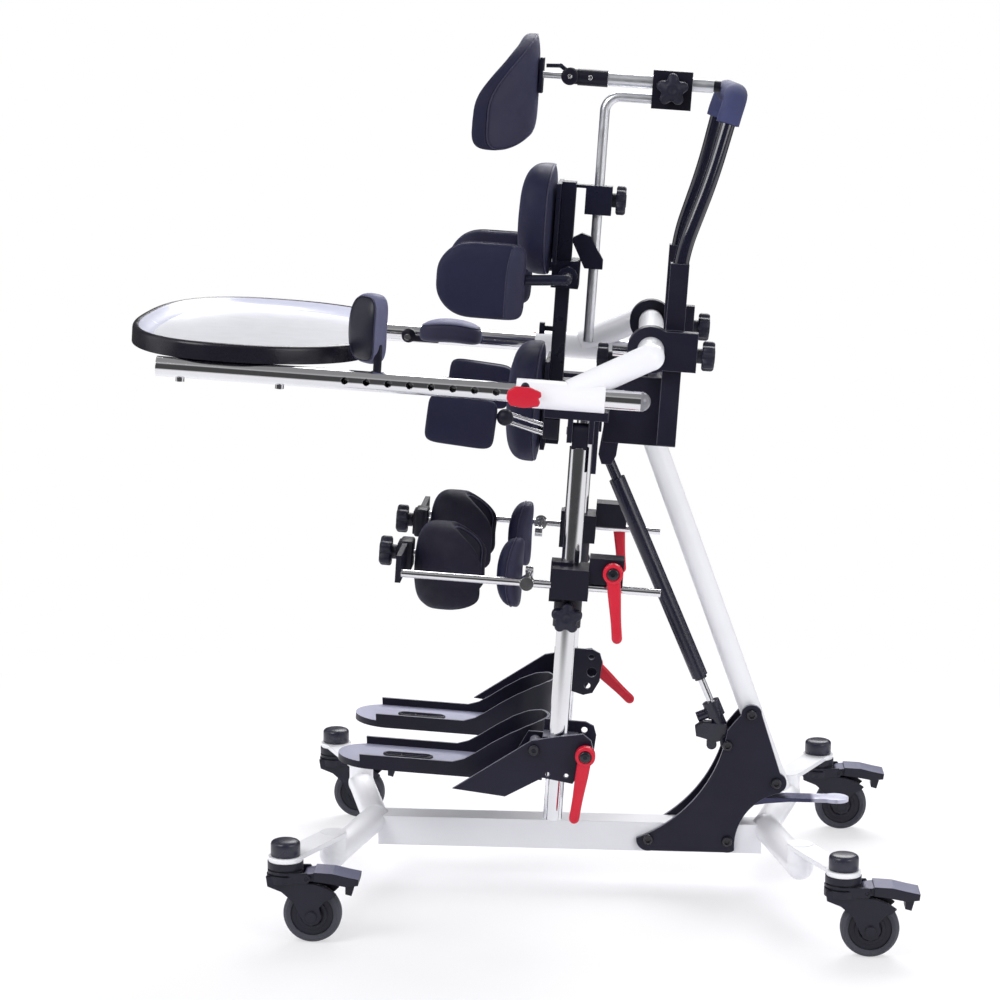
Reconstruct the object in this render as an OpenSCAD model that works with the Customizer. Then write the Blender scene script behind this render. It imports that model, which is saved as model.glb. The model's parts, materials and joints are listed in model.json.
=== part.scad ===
// Standing frame on a wheeled base: a leaning mast carries a body support with tray,
// back, hip, knee and head supports and a pair of foot sandals.
// Front of the frame (the tray) is -X, the user's left is -Y, up is +Z, floor at z = 0.
// Sizes are in millimetres. The body support is drawn around its tilt pivot.

/* [Stance] */
// Backward lean of the body support, in degrees
lean = 3.3; // [0:0.1:12]
// Distance between the left and right castor axes
track = 580; // [540:5:640]
// Distance between the front and rear castor axes
wheelbase = 710; // [680:5:760]
// Tilt pivot ahead (-) or behind (+) the middle of the wheelbase
pivot_x = 90; // [80:1:100]
// Tilt pivot above the floor
pivot_z = 655; // [640:1:680]

/* [Castors] */
// Wheel diameter
wheel_d = 75; // [70:1:76]
// Tyre width
tyre_w = 24; // [20:1:25]
// Rim diameter under the tyre
rim_d = 55; // [46:1:58]
// Wheel axle behind the swivel axis
trail = 35; // [30:1:38]
// Swivel stem diameter
stem_d = 20; // [14:1:24]
// Underside of the frame's castor sockets
socket_z = 106; // [104:0.5:108]
// Castor socket height
socket_h = 6.5; // [5.5:0.5:9]
// Castor socket diameter
socket_d = 44; // [38:1:48]

/* [Base] */
// Main beam height
beam_h = 40; // [34:1:41]
// Main beam width
beam_w = 40; // [36:1:44]
// Underside of the main beam
beam_z = 50; // [44:1:52]
// Crossbar tube diameter
cross_d = 36; // [30:1:36]
// Half width of the crossbar tubes
cross_reach = 178; // [160:1:180]
// Sweep of the crossbar tubes away from the middle
cross_sweep = 38; // [30:1:44]
// Side plate thickness
plate_t = 6; // [4:0.5:8]
// Bolt shank diameter
bolt_d = 8; // [6:0.5:9]
// Mast tube outside diameter
mast_d = 30; // [26:1:32]
// Mast tube wall
mast_wall = 2.5; // [1.5:0.5:4]

/* [Gas spring] */
// Gas spring body diameter
spring_d = 22; // [18:1:26]
// Gas spring rod diameter
spring_rod_d = 10; // [8:1:12]

/* [Body support] */
// Middle of the handle uprights from the centre line
upright_y = 155; // [154:1:157]
// Handle upright width
upright_w = 24; // [23:0.5:25]
// Top of the handle uprights above the pivot
upright_top = 212; // [190:1:214]
// Pivot shaft diameter
shaft_d = 16; // [12:1:20]
// Front face of the back post, measured back from the pivot (negative is forward)
post_x = -128; // [-128.5:0.1:-127.5]
// Back post depth
post_t = 18; // [17.5:0.1:18.2]
// Back post width
post_w = 40; // [34:1:44]
// Top of the back post above the pivot
post_top = 297; // [294:1:300]

/* [Tray] */
// Tray depth, front to back
tray_depth = 316; // [300:2:320]
// Tray width
tray_w = 586; // [570:2:610]
// Radius of the tray's front corners
tray_front_r = 92; // [70:2:110]
// Radius of the tray's rear corners
tray_rear_r = 160; // [120:2:170]
// Rear edge of the tray from the pivot
tray_rear = -362; // [-375:1:-360]
// Height of the tray's rim
rim_h = 23; // [18:1:26]
// Thickness of the rim's wall
rim_t = 9; // [6:0.5:12]
// Middle of the tray tubes from the centre line
tube_y = 280; // [278:1:286]
// Tray tube height above the pivot
tube_z = 48; // [46:1:49]
// Tray tube diameter
tube_d = 25; // [23:0.5:25]
// Tray tube wall
tube_wall = 2; // [1.5:0.5:3]
// Pitch of the length holes
hole_pitch = 27; // [24:1:30]
// Arm tube diameter
arm_d = 34; // [30:1:34]

/* [Legs] */
// Leg tubes from the centre line
leg_y = 190; // [188:1:191]
// Leg tube diameter
leg_d = 25; // [22:0.5:25]
// Leg tubes ahead of the pivot
leg_x = -78; // [-79:0.5:-77]
// Lower end of the leg tubes below the pivot
leg_end = -519; // [-530:1:-500]
// Knee rod diameter
knee_rod_d = 10; // [8:0.5:10]
// Clamp lever length
lever_len = 84; // [70:1:88]

/* [Feet] */
// Middle of the sandals from the centre line
sandal_y = 111; // [110:1:112]
// Sandal width
sandal_w = 100; // [92:1:102]
// Top of the sandal sole below the pivot
sole_z = -472; // [-476:1:-470]
// Sandal length
sandal_len = 278; // [260:1:284]

/* [Head] */
// Head post tube diameter
head_post_d = 13; // [12:0.5:14]
// Head bar diameter
head_bar_d = 18; // [16:0.5:19]

/* [Handle] */
// Handle tube diameter
handle_d = 20; // [18:0.5:20.5]
// Foam grip diameter
grip_d = 30; // [26:1:34]

/* [Fits] */
// Gap between pieces that are seated on each other
seat_gap = 0.15; // [0.05:0.05:0.3]
// Radial gap of a turning or sliding fit
run_gap = 0.08; // [0.03:0.01:0.1]

/* [Hidden] */
$fn = 48;
rim_z = tube_z + tube_d / 2 + seat_gap;
front_edge = pivot_x + (tray_rear - tray_depth) * cos(lean) + rim_z * sin(lean);
rear_edge = wheelbase / 2 + 96;
// Shift that puts the middle of the whole frame over the origin
middle_shift = -(front_edge + rear_edge) / 2;
wheel_r = wheel_d / 2;
cap_z = socket_z + socket_h;
cross_z = beam_z + beam_h / 2 + 12;
plate_in = beam_w / 2 + seat_gap;
plate_out = plate_in + plate_t;
// Lower end of the mast and the two bolts that hold it, as x and z over the floor
mast_foot = [286, 135];
mast_low_bolt = [280, 151];
mast_high_bolt = [244.5, 245];
beam_bolts = [[108, 68], [215, 68]];
spring_pin = [213, 202];
pedal_pivot = [228, 120];
// Upper gas spring pin, from the tilt pivot, before the lean
spring_top = [-43.3, -64.6];
tray_pivot = [3, 102];
knee_z = -203;
knee_rod_y = leg_y + 32;
sandal_pivot = [-108, -424];
foot_lever_at = [-41, -424];
// Right foot bracket set this much higher on its leg than the left one
right_rise = 20;
knee_lever_at = [-23, -180];
elbow_pivot = [-340, tube_z];
head_ball = [-129, 434];
// Cross bar of the push handle, and half its length
handle_bar = [87, 427];
handle_half = 122;
// Hip pads droop to the rear by this many degrees
hip_pitch = 4;
sleeve_front = -160;
sleeve_rear = -49;

white = [0.93, 0.93, 0.95];
black = [0.09, 0.09, 0.10];
chrome = [0.78, 0.79, 0.80];
navy = [0.10, 0.11, 0.17];
red = [0.80, 0.07, 0.10];
grey = [0.42, 0.42, 0.44];

// Places
module on_base() {
    translate([middle_shift, 0, 0]) children();
}

module in_support() {
    on_base()
        translate([pivot_x, 0, pivot_z])
            rotate([0, lean, 0])
                children();
}

module castor_at(end, side) {
    on_base()
        translate([end * wheelbase / 2, side * track / 2, 0])
            children();
}

// Shapes
module box(x0, x1, y0, y1, z0, z1) {
    translate([x0, min(y0, y1), z0]) cube([x1 - x0, abs(y1 - y0), z1 - z0]);
}

module rod(p, q, d) {
    v = q - p;
    len = norm(v);
    translate(p) rotate([0, acos(v[2] / len), atan2(v[1], v[0])]) cylinder(d = d, h = len);
}

module along_y(x, z, d, y0, y1) {
    translate([x, min(y0, y1), z]) rotate([-90, 0, 0]) cylinder(d = d, h = abs(y1 - y0));
}

module along_x(y, z, d, x0, x1) {
    translate([x0, y, z]) rotate([0, 90, 0]) cylinder(d = d, h = x1 - x0);
}

module ball(p, d) {
    translate(p) sphere(d = d);
}

// A flat plate with its outline given as x and z, between two y values
module plate(outline, y0, y1) {
    translate([0, max(y0, y1), 0])
        rotate([90, 0, 0])
            linear_extrude(abs(y1 - y0))
                polygon(outline);
}

// Star knob standing on z = 0 with its lobes above a short neck
module star_knob(d, h) {
    cylinder(d = d * 0.46, h = h * 0.4);
    translate([0, 0, h * 0.3]) cylinder(d = d * 0.68, h = h * 0.7);
    for (k = [0 : 4])
        rotate([0, 0, 90 + k * 72])
            translate([d * 0.34, 0, h * 0.36])
                cylinder(d = d * 0.32, h = h * 0.55, $fn = 24);
}

// Slab with the tray's outline, drawn in by an inset all round
module tray_slab(inset, z0, z1) {
    half = tray_w / 2 - inset;
    front = tray_rear - tray_depth + inset;
    rear = tray_rear - inset;
    front_r = tray_front_r - inset;
    rear_r = tray_rear_r - inset;
    box(front + front_r, rear - rear_r, -half, half, z0, z1);
    box(front, front + front_r + 1, front_r - half, half - front_r, z0, z1);
    box(rear - rear_r - 1, rear, rear_r - half, half - rear_r, z0, z1);
    for (side = [-1, 1]) {
        translate([front + front_r, side * (half - front_r), z0])
            cylinder(r = front_r, h = z1 - z0, $fn = 96);
        // the rear corners' discs reach past the middle, so only their rear half is kept
        intersection() {
            translate([rear - rear_r, side * (half - rear_r), z0])
                cylinder(r = rear_r, h = z1 - z0, $fn = 96);
            box(rear - rear_r - 1, rear + 1, -tray_w, tray_w, z0 - 1, z1 + 1);
        }
    }
}

function signed_pow(v, e) = sign(v) * pow(abs(v), e);

// Cushion: crowned front at -x, flatter back at +x, corners and edges drawn in.
// size is [front depth, back depth, width, height]; wrap_y and wrap_z bend the sides and ends,
// taper makes the sides lower than the middle and sag lets them hang, with bow and hang as the
// powers of the bend and the droop; nose rounds one side off, +y or -y by its sign.
module cushion(
    size, edge = 0.5, corner = 0.6, wrap_y = 0, wrap_z = 0, taper = 0, sag = 0,
    bow = 2, hang = 2, nose = 0, rings = 10, sides = 28
) {
    points = [
        for (i = [0 : rings], j = [0 : sides - 1])
            let (
                a = -90 + 180 * i / rings,
                b = 360 * j / sides,
                r = (i == 0 || i == rings) ? 0 : signed_pow(cos(a), edge),
                y = r * signed_pow(cos(b), corner),
                z = r * signed_pow(sin(b), corner),
                depth = signed_pow(sin(a), edge),
                x = -(depth > 0 ? size[0] : size[1]) * depth
            )
            [
                x + wrap_y * pow(abs(y), bow) + wrap_z * z * z,
                y * size[2] / 2,
                z * (1 - taper * y * y - pow(max(0, nose * y), 3)) * size[3] / 2 - sag * pow(abs(y), hang)
            ]
    ];
    // keep one point at each pole
    low = points[0];
    high = points[rings * sides];
    shell = concat(
        [low],
        [for (i = [1 : rings - 1], j = [0 : sides - 1]) points[i * sides + j]],
        [high]
    );
    top = len(shell) - 1;
    faces = concat(
        [for (j = [0 : sides - 1]) [0, 1 + (j + 1) % sides, 1 + j]],
        [
            for (i = [0 : rings - 3], j = [0 : sides - 1], half = [0, 1])
                let (
                    p = 1 + i * sides + j,
                    q = 1 + i * sides + (j + 1) % sides
                )
                half == 0 ? [p, q, q + sides] : [p, q + sides, p + sides]
        ],
        [
            for (j = [0 : sides - 1])
                let (p = 1 + (rings - 2) * sides)
                [top, p + j, p + (j + 1) % sides]
        ]
    );
    polyhedron(points = shell, faces = faces, convexity = 4);
}

// Base
module base_frame() {
    color(white) on_base() difference() {
        union() {
            box(-262, 262, -beam_w / 2, beam_w / 2, beam_z, beam_z + beam_h);
            for (end = [-1, 1]) {
                ball([end * 268, 0, cross_z], cross_d + 1.5);
                for (side = [-1, 1]) {
                    tip = [end * (268 + cross_sweep), side * cross_reach, cross_z];
                    socket = [end * wheelbase / 2, side * track / 2, socket_z];
                    rod([end * 268, 0, cross_z], tip, cross_d);
                    ball(tip, cross_d + 1);
                    translate(tip) cylinder(d = cross_d - 2, h = socket_z + socket_h - cross_z);
                    translate([tip[0], tip[1], socket_z])
                        rotate([0, 0, atan2(socket[1] - tip[1], socket[0] - tip[0])])
                            translate([-4, -17, 0])
                                cube([norm(socket - [tip[0], tip[1], socket_z]) + 8, 34, socket_h - 0.5]);
                    translate(socket) cylinder(d = socket_d, h = socket_h);
                }
            }
        }
        for (end = [-1, 1], side = [-1, 1])
            translate([end * wheelbase / 2, side * track / 2, socket_z - 1])
                cylinder(d = stem_d + 2 * run_gap, h = socket_h);
        for (b = beam_bolts)
            along_y(b[0], b[1], bolt_d + 2 * seat_gap, -beam_w, beam_w);
    }
}

module socket_caps() {
    color(black)
        for (end = [-1, 1], side = [-1, 1])
            castor_at(end, side) {
                translate([0, 0, cap_z + seat_gap]) cylinder(d = socket_d - 6, h = 16);
                translate([0, 0, cap_z + 16]) cylinder(d1 = socket_d - 6, d2 = socket_d - 14, h = 5);
            }
}

module side_plates() {
    outline = [[108, 52], [218, 52], [232, 60], [291, 146], [257, 250], [244, 259], [224, 237], [102, 82]];
    color(black) on_base()
        for (side = [-1, 1])
            difference() {
                union() {
                    plate(outline, side * plate_in, side * plate_out);
                    for (b = [mast_low_bolt, mast_high_bolt])
                        along_y(b[0], b[1], 28, side * plate_in, side * plate_out);
                    for (b = beam_bolts)
                        along_y(b[0], b[1], 33, side * plate_in, side * plate_out);
                }
                along_y(20, 250, 389, -60, 60);
                along_y(302, 62, 154, -60, 60);
                for (b = concat(beam_bolts, [mast_low_bolt, mast_high_bolt, spring_pin]))
                    along_y(b[0], b[1], bolt_d + 2 * seat_gap, -60, 60);
                along_y(
                    pedal_pivot[0], pedal_pivot[1], bolt_d + 2 * run_gap,
                    side * (plate_in - 1), side * (plate_in + 3)
                );
            }
}

module plate_bolts() {
    color(black) on_base()
        for (b = concat(beam_bolts, [mast_low_bolt, mast_high_bolt, spring_pin])) {
            along_y(b[0], b[1], bolt_d, -plate_out - 1, plate_out + 1);
            for (side = [-1, 1])
                along_y(b[0], b[1], bolt_d * 1.8, side * (plate_out + seat_gap), side * (plate_out + 5.5));
        }
}

module mast() {
    foot = [mast_foot[0], 0, mast_foot[1]];
    head = [pivot_x, 0, pivot_z];
    bolts = [mast_low_bolt, mast_high_bolt];
    color(white) on_base() difference() {
        union() {
            rod(foot, head, mast_d);
            along_y(pivot_x, pivot_z, 36, -30, 30);
            for (b = bolts)
                along_y(b[0], b[1], 20, -beam_w / 2, beam_w / 2);
        }
        difference() {
            rod(foot - 0.02 * (head - foot), foot + 0.95 * (head - foot), mast_d - 2 * mast_wall);
            for (b = bolts)
                along_y(b[0], b[1], 20, -beam_w / 2, beam_w / 2);
        }
        for (b = bolts)
            along_y(b[0], b[1], bolt_d + 2 * seat_gap, -beam_w, beam_w);
        along_y(pivot_x, pivot_z, shaft_d + 2 * run_gap, -40, 40);
    }
}

// Castors
module castor_fork(end, side) {
    // cheek that widens into a hood over the wheel
    cheek = [
        [-23, 89], [20, 89], [24, 82], [40, 80], [56, 74.5], [67, 67], [62, 62], [52, 57], [45, 49],
        [48, 37.5], [44, 28.5], [35, 25], [26, 28.5], [22, 36], [12, 56], [-3, 69], [-21, 76]
    ];
    color(black) castor_at(end, side) difference() {
        union() {
            translate([0, 0, 79.5]) cylinder(d = 48, h = 10);
            translate([0, 0, 89]) cylinder(d = 42, h = socket_z - 90);
            translate([0, 0, 91]) cylinder(d = 46, h = 4);
            translate([0, 0, 97]) cylinder(d = 46, h = socket_z - 97.3);
            translate([0, 0, 85]) cylinder(d = stem_d, h = cap_z - 86.5);
            for (s = [-1, 1]) {
                plate(cheek, s * 14, s * 19);
                plate([[6, 81.5], [6, 95], [30, 95], [35, 88], [31, 82]], s * 18.3, s * 22);
                along_y(trail, wheel_r, 14, s * 14, s * 22);
            }
            along_y(trail, wheel_r, 8, -20, 20);
        }
        along_y(29, 88, 5 + 2 * run_gap, -30, 30);
    }
}

module castor_wheel(end, side) {
    color(grey) castor_at(end, side)
        translate([trail, 0, wheel_r]) rotate([90, 0, 0]) {
            difference() {
                union() {
                    cylinder(d = rim_d - 2 * seat_gap, h = tyre_w - 8, center = true);
                    cylinder(d = rim_d - 16, h = tyre_w - 2, center = true);
                }
                for (s = [-1, 1])
                    translate([0, 0, s * tyre_w / 2]) cylinder(d = rim_d - 26, h = 10, center = true);
                cylinder(d = 8 + 2 * run_gap, h = tyre_w + 2, center = true);
            }
            rotate_extrude($fn = 96)
                polygon([
                    [rim_d / 2, -tyre_w / 2 + 2], [wheel_r - 5, -tyre_w / 2], [wheel_r - 1.2, -tyre_w / 2 + 3.5],
                    [wheel_r, -tyre_w / 2 + 8], [wheel_r, tyre_w / 2 - 8], [wheel_r - 1.2, tyre_w / 2 - 3.5],
                    [wheel_r - 5, tyre_w / 2], [rim_d / 2, tyre_w / 2 - 2]
                ]);
        }
}

module castor_pedal(end, side) {
    color(black) castor_at(end, side) {
        along_y(29, 88, 5, -21.5, 21.5);
        along_y(29, 88, 10, -17.8, 17.8);
        plate([[29, 83.5], [29, 93], [40, 94.5], [40, 84]], -17.8, 17.8);
        plate([[38, 84], [38, 96], [62, 95], [80, 91], [96, 88], [95, 80], [80, 78], [56, 82]], -20, 20);
        plate([[78, 79], [78, 66], [86, 64], [90, 79]], -12, 12);
    }
}

// Gas spring, drawn along its own axis from the lower pin
module along_spring() {
    top = [
        pivot_x + spring_top[0] * cos(lean) + spring_top[1] * sin(lean),
        pivot_z - spring_top[0] * sin(lean) + spring_top[1] * cos(lean)
    ];
    on_base()
        translate([spring_pin[0], 0, spring_pin[1]])
            rotate([0, atan2(top[0] - spring_pin[0], top[1] - spring_pin[1]), 0])
                children();
}

function spring_len() = norm([
    pivot_x + spring_top[0] * cos(lean) + spring_top[1] * sin(lean) - spring_pin[0],
    pivot_z - spring_top[0] * sin(lean) + spring_top[1] * cos(lean) - spring_pin[1]
]);

module gas_spring_rod() {
    color(black) along_spring() difference() {
        union() {
            along_y(0, 0, 20, -12, 12);
            translate([0, 0, 4]) cylinder(d = 18, h = 36);
            translate([0, 0, 38]) cylinder(d = 24, h = 22);
            // release arm, cam and its stop
            along_x(0, 46, 14, -25, 2);
            plate([[-36, 24], [-33, 35], [-20, 38], [9, 23], [2, 4], [-14, 6]], -9, 9);
            along_y(-21, 5, 14, -8, 8);
            translate([0, 0, 58]) cylinder(d = spring_rod_d, h = 150);
        }
        along_y(0, 0, bolt_d + 2 * run_gap, -20, 20);
    }
}

module gas_spring_body() {
    reach = spring_len();
    color(black) along_spring() difference() {
        union() {
            translate([0, 0, 98]) cylinder(d = spring_d, h = reach - 132);
            translate([0, 0, 94]) cylinder(d = spring_d - 5, h = 8);
            translate([0, 0, reach - 36]) cylinder(d = 14, h = 30);
            along_y(0, reach, 20, -8, 8);
        }
        translate([0, 0, 90]) cylinder(d = spring_rod_d + 2 * run_gap, h = 170);
        along_y(0, reach, bolt_d + 3.2, -20, 20);
    }
}

module release_pedal() {
    color(grey) on_base() {
        along_y(pedal_pivot[0], pedal_pivot[1], bolt_d, -plate_in - 2.5, plate_in + 2.5);
        along_y(pedal_pivot[0], pedal_pivot[1], 16, -18, 18);
        plate([[228, 112], [228, 127], [270, 127], [300, 127], [300, 122], [268, 119]], -14, 14);
        box(296, 362, -14, 14, 122, 127);
        translate([362, 0, 122]) cylinder(d = 36, h = 5);
    }
}

// Body support
module carrier() {
    color(black) in_support() {
        along_y(0, 0, shaft_d, -140, 140);
        along_y(-34, 18, 25, -140, 140);
        along_y(14, 46, 22, -140, 140);
        box(4, 24, -12, 12, 46, 80);
        box(post_x + post_t + seat_gap, -30, -17, 17, 6, 34);
        for (s = [-1, 1]) {
            plate([[-50, -26], [44, -26], [44, 62], [-20, 62], [-50, 40]], s * 137, s * 145);
            difference() {
                box(
                    32 - upright_w / 2, 32 + upright_w / 2,
                    s * (upright_y - upright_w / 2), s * (upright_y + upright_w / 2), -22, upright_top
                );
                translate([32, s * upright_y, 90]) cylinder(d = handle_d + 2 * run_gap, h = 200);
            }
            difference() {
                union() {
                    along_y(tray_pivot[0], tray_pivot[1], 60, s * 165, s * 188);
                    box(tray_pivot[0], 62, s * 165, s * 188, 77, 127);
                }
                along_y(tray_pivot[0], tray_pivot[1], arm_d + 2 * run_gap, s * 160, s * 195);
            }
            // lugs and pin for the top of the gas spring
            plate([[-46, 20], [-24, 20], [-31, -62], [-37, -75], [-50, -75], [-55, -62]], s * 10, s * 16);
            // hanger of the leg
            box(-92, -44, s * 140, s * 202, 8, 20);
            box(-126, -55, s * 178, s * 202, 8, 20);
            box(-95, -88.3, s * 178, s * 202, -22, 12);
            box(-67.7, -61, s * 178, s * 202, -22, 12);
            box(-61.5, -55, s * 180, s * 200, -60, 12);
            along_x(s * leg_y, -8, 10, -96, -60);
        }
        along_y(spring_top[0], spring_top[1], bolt_d, -12, 12);
    }
}

module back_post() {
    color(black) in_support() difference() {
        union() {
            box(post_x, post_x + post_t, -post_w / 2, post_w / 2, -52, post_top);
            // clamp of the head post, on a strap at the top and a slanted bracket below
            box(-97, -62, -16, 16, 256, 294);
            box(post_x + post_t - 1, -96, -12, 12, 290, 294);
            plate([[-112, 222], [-98, 230], [-86, 226], [-68, 196], [-68, 184], [-92, 184]], -9, 9);
            box(post_x - 5, post_x + 1, -62, 62, -55, 62);
            along_x(0, 100, 7, post_x - 12, post_x + 2);
            along_x(0, 100, 16, post_x - 18, post_x - 11);
        }
        translate([-80, 0, 170]) cylinder(d = head_post_d + 2 * run_gap, h = 140);
    }
}

module star_knobs() {
    color(black) in_support() {
        translate([-46, 0, 67]) rotate([0, -90, 0]) star_knob(40, 20);
        along_x(0, 67, 6, -48, 4 - seat_gap);
        for (s = [-1, 1]) {
            translate([62 + seat_gap, s * 177, 98]) rotate([0, 90, 0]) star_knob(40, 22);
        }
        translate([-62 + seat_gap, 0, 276]) rotate([0, 90, 0]) star_knob(40, 18);
    }
}

module pelvis_pad() {
    color(navy) in_support()
        translate([post_x - 15, 0, 2]) cushion([38, 9.7, 196, 158], 0.62, 0.75, -4);
}

module hip_arms() {
    color(chrome) in_support()
        for (s = [-1, 1]) {
            box(-126, -106, s * 180, s * 200, -20, 8 - seat_gap);
            rod([-116, s * leg_y, -12], [-172, s * leg_y, 3], 13);
            ball([-175.25, s * leg_y, 3], 22);
        }
}

module hip_pads() {
    color(navy) in_support()
        for (s = [-1, 1])
            translate([-231, s * (leg_y - 1), -6])
                rotate([0, hip_pitch, 0])
                    rotate([0, 0, s * 90])
                        cushion([13, 11, 88, 62], 0.34, 0.3);
}

module chest_bracket() {
    color(black) in_support() difference() {
        union() {
            box(post_x - 6, -98, -34, 34, 158, 194);
            box(post_x - 6, post_x - 0.4, -60, 60, 190, 296);
            for (s = [-1, 1]) {
                rod([-112, s * 30, 176], [-112, s * 110, 176], 14);
                ball([-112, s * 110, 176], 14);
                rod([-112, s * 110, 176], [-165, s * 110, 172], 14);
                along_y(-112, 176, 26, s * 52, s * 70);
            }
        }
        box(
            post_x - run_gap, post_x + post_t + run_gap,
            -post_w / 2 - run_gap, post_w / 2 + run_gap, 100, 196.5
        );
    }
}

module chest_pad() {
    color(navy) in_support()
        translate([post_x - 16, 0, 246]) cushion([38, 9.7, 176, 146], 0.62, 0.72, -6);
}

module lateral_pads() {
    color(navy) in_support()
        for (s = [-1, 1])
            translate([-222.5, s * 111, 168])
                rotate([0, 0, s * 90])
                    cushion([20, 16, 114, 98], 0.55, 0.56, 3, nose = s * 0.75);
}

// Tray
module tray_arms() {
    color(white) in_support() difference() {
        union() {
            along_y(tray_pivot[0], tray_pivot[1], arm_d, -262, 262);
            for (s = [-1, 1]) {
                ball([tray_pivot[0], s * 262, tray_pivot[1]], arm_d + 1);
                rod([tray_pivot[0], s * 262, tray_pivot[1]], [-92, s * (tube_y - 2), tube_z + 4], arm_d);
                along_x(s * tube_y, tube_z, 36, sleeve_front, sleeve_rear);
                along_y(-148, tube_z, 20, s * tube_y, s * (tube_y + 24));
            }
        }
        for (s = [-1, 1]) {
            along_x(s * tube_y, tube_z, tube_d + 2 * run_gap, sleeve_front - 20, 90);
            along_y(-148, tube_z, 8 + 2 * run_gap, s * tube_y, s * (tube_y + 40));
        }
    }
}

module tray_tubes() {
    color(chrome) in_support()
        for (s = [-1, 1]) {
            difference() {
                along_x(s * tube_y, tube_z, tube_d, -610, -2);
                along_x(s * tube_y, tube_z, tube_d - 2 * tube_wall, -604, -12);
                for (k = [0 : 7])
                    along_y(-184 - k * hole_pitch, tube_z, 9, s * (tube_y + 4), s * (tube_y + 20));
            }
            ball([-5, s * tube_y, tube_z], tube_d);
            for (x = [-580, -455])
                translate([x, s * tube_y, tube_z - tube_d / 2 - 5]) cylinder(d = 11, h = 6);
            // pivot pin of the elbow pad
            along_y(elbow_pivot[0], elbow_pivot[1], 9, s * (tube_y - tube_d / 2 + 1), s * 228);
        }
}

module tray_board() {
    color(white) in_support()
        tray_slab(rim_t + seat_gap, rim_z + 5 + seat_gap, rim_z + 10);
}

// Rim with a ledge under the board and its upper edge drawn in
module tray_rim() {
    color(black) in_support() difference() {
        union() {
            tray_slab(0, rim_z, rim_z + rim_h - 4);
            tray_slab(2, rim_z + rim_h - 5, rim_z + rim_h);
        }
        tray_slab(rim_t, rim_z + 5, rim_z + rim_h - 6);
        tray_slab(rim_t - 2, rim_z + rim_h - 6, rim_z + rim_h + 1);
        tray_slab(rim_t + 15, rim_z - 1, rim_z + rim_h);
    }
}

// Elbow pad drawn folded down behind the tray; it stands upright when turned a quarter back
module elbow_pad(side, turn, swing) {
    color(navy) in_support()
        translate([elbow_pivot[0], 0, elbow_pivot[1]])
            rotate([0, turn, 0]) {
                difference() {
                    union() {
                        along_y(0, 0, 20, side * 246, side * 256);
                        box(0, 30, side * 246, side * 256, -8, 2);
                    }
                    along_y(0, 0, 9 + 2 * run_gap, side * 240, side * 260);
                }
                translate([61, side * 237, 13])
                    rotate([swing, 0, 0])
                        rotate([0, 90, 0])
                            cushion([16, 16, 52, 88], 0.6, 0.62, 0, 6);
            }
}

module elbow_pad_left() {
    elbow_pad(-1, -90, 24);
}

module elbow_pad_right() {
    elbow_pad(1, 0, 0);
}

module tray_pin(side) {
    color(red) in_support() {
        along_y(-148, tube_z, 8, side * (tube_y + tube_d / 2 + 0.4), side * (tube_y + 30));
        // star grip with a pressed cap over it
        translate([-148, side * (tube_y + 24.4), tube_z])
            rotate([-side * 90, 0, 0])
                star_knob(34, 9);
        plate(
            [[-170, tube_z - 4], [-168, tube_z + 7], [-158, tube_z + 12], [-138, tube_z + 10], [-128, tube_z + 5],
             [-130, tube_z - 9], [-150, tube_z - 14], [-166, tube_z - 12]],
            side * (tube_y + 31), side * (tube_y + 38)
        );
    }
}

module tray_pin_left() {
    tray_pin(-1);
}

module tray_pin_right() {
    tray_pin(1);
}

// Legs
module leg_tube(side) {
    color(chrome) in_support() difference() {
        union() {
            along_x(side * leg_y, -8, 22, leg_x - 10, leg_x + 10);
            box(leg_x - 10, leg_x + 10, side * (leg_y - 11), side * (leg_y + 11), -30, -8);
            translate([leg_x, side * leg_y, leg_end]) cylinder(d = leg_d, h = -28 - leg_end);
        }
        translate([leg_x, side * leg_y, leg_end - 5]) cylinder(d = leg_d - 5, h = -40 - leg_end);
        along_x(side * leg_y, -8, 10 + 2 * run_gap, leg_x - 20, leg_x + 20);
    }
}

module leg_tube_left() {
    leg_tube(-1);
}

module leg_tube_right() {
    leg_tube(1);
}

// Knees
module knee_clamp(side) {
    color(black) in_support() difference() {
        union() {
            box(-101, -53, side * 172, side * 234, -219, -180);
            box(-103, -74, side * 176, side * 206, -228, -176);
            box(-54, -10, side * 192, side * 228, knee_z + 6, -164);
            // collar and star knob under the clamp
            translate([leg_x, side * leg_y, -262]) cylinder(d = 36, h = 46);
            translate([leg_x, side * (leg_y + 16), -245]) rotate([-side * 90, 0, 0]) star_knob(40, 22);
            along_y(knee_lever_at[0], knee_lever_at[1], 8, side * 220, side * 243);
        }
        translate([leg_x, side * leg_y, -280]) cylinder(d = leg_d + 2 * run_gap, h = 130);
        along_x(side * knee_rod_y, knee_z, knee_rod_d + 2 * run_gap, -120, 0);
    }
}

module knee_clamp_left() {
    knee_clamp(-1);
}

module knee_clamp_right() {
    knee_clamp(1);
}

module knee_rod(side) {
    color(chrome) in_support() {
        along_x(side * knee_rod_y, knee_z, knee_rod_d, -299, 39);
        box(-300, -293, side * 100, side * (knee_rod_y + 9), knee_z - 11, knee_z + 24);
        along_x(side * 122, -195, 10, -312, -283.75);
        translate([-308, side * 122, -195]) rotate([0, -90, 0]) star_knob(40, 22);
        // arm of the pad behind the knee
        along_y(-132, knee_z, 8, side * 146, side * knee_rod_y);
        along_x(side * 146, knee_z, 14, -137, -127);
        along_y(-132, knee_z, 18, side * (knee_rod_y - 9), side * (knee_rod_y + 9));
    }
}

module knee_rod_left() {
    knee_rod(-1);
}

module knee_rod_right() {
    knee_rod(1);
}

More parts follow.
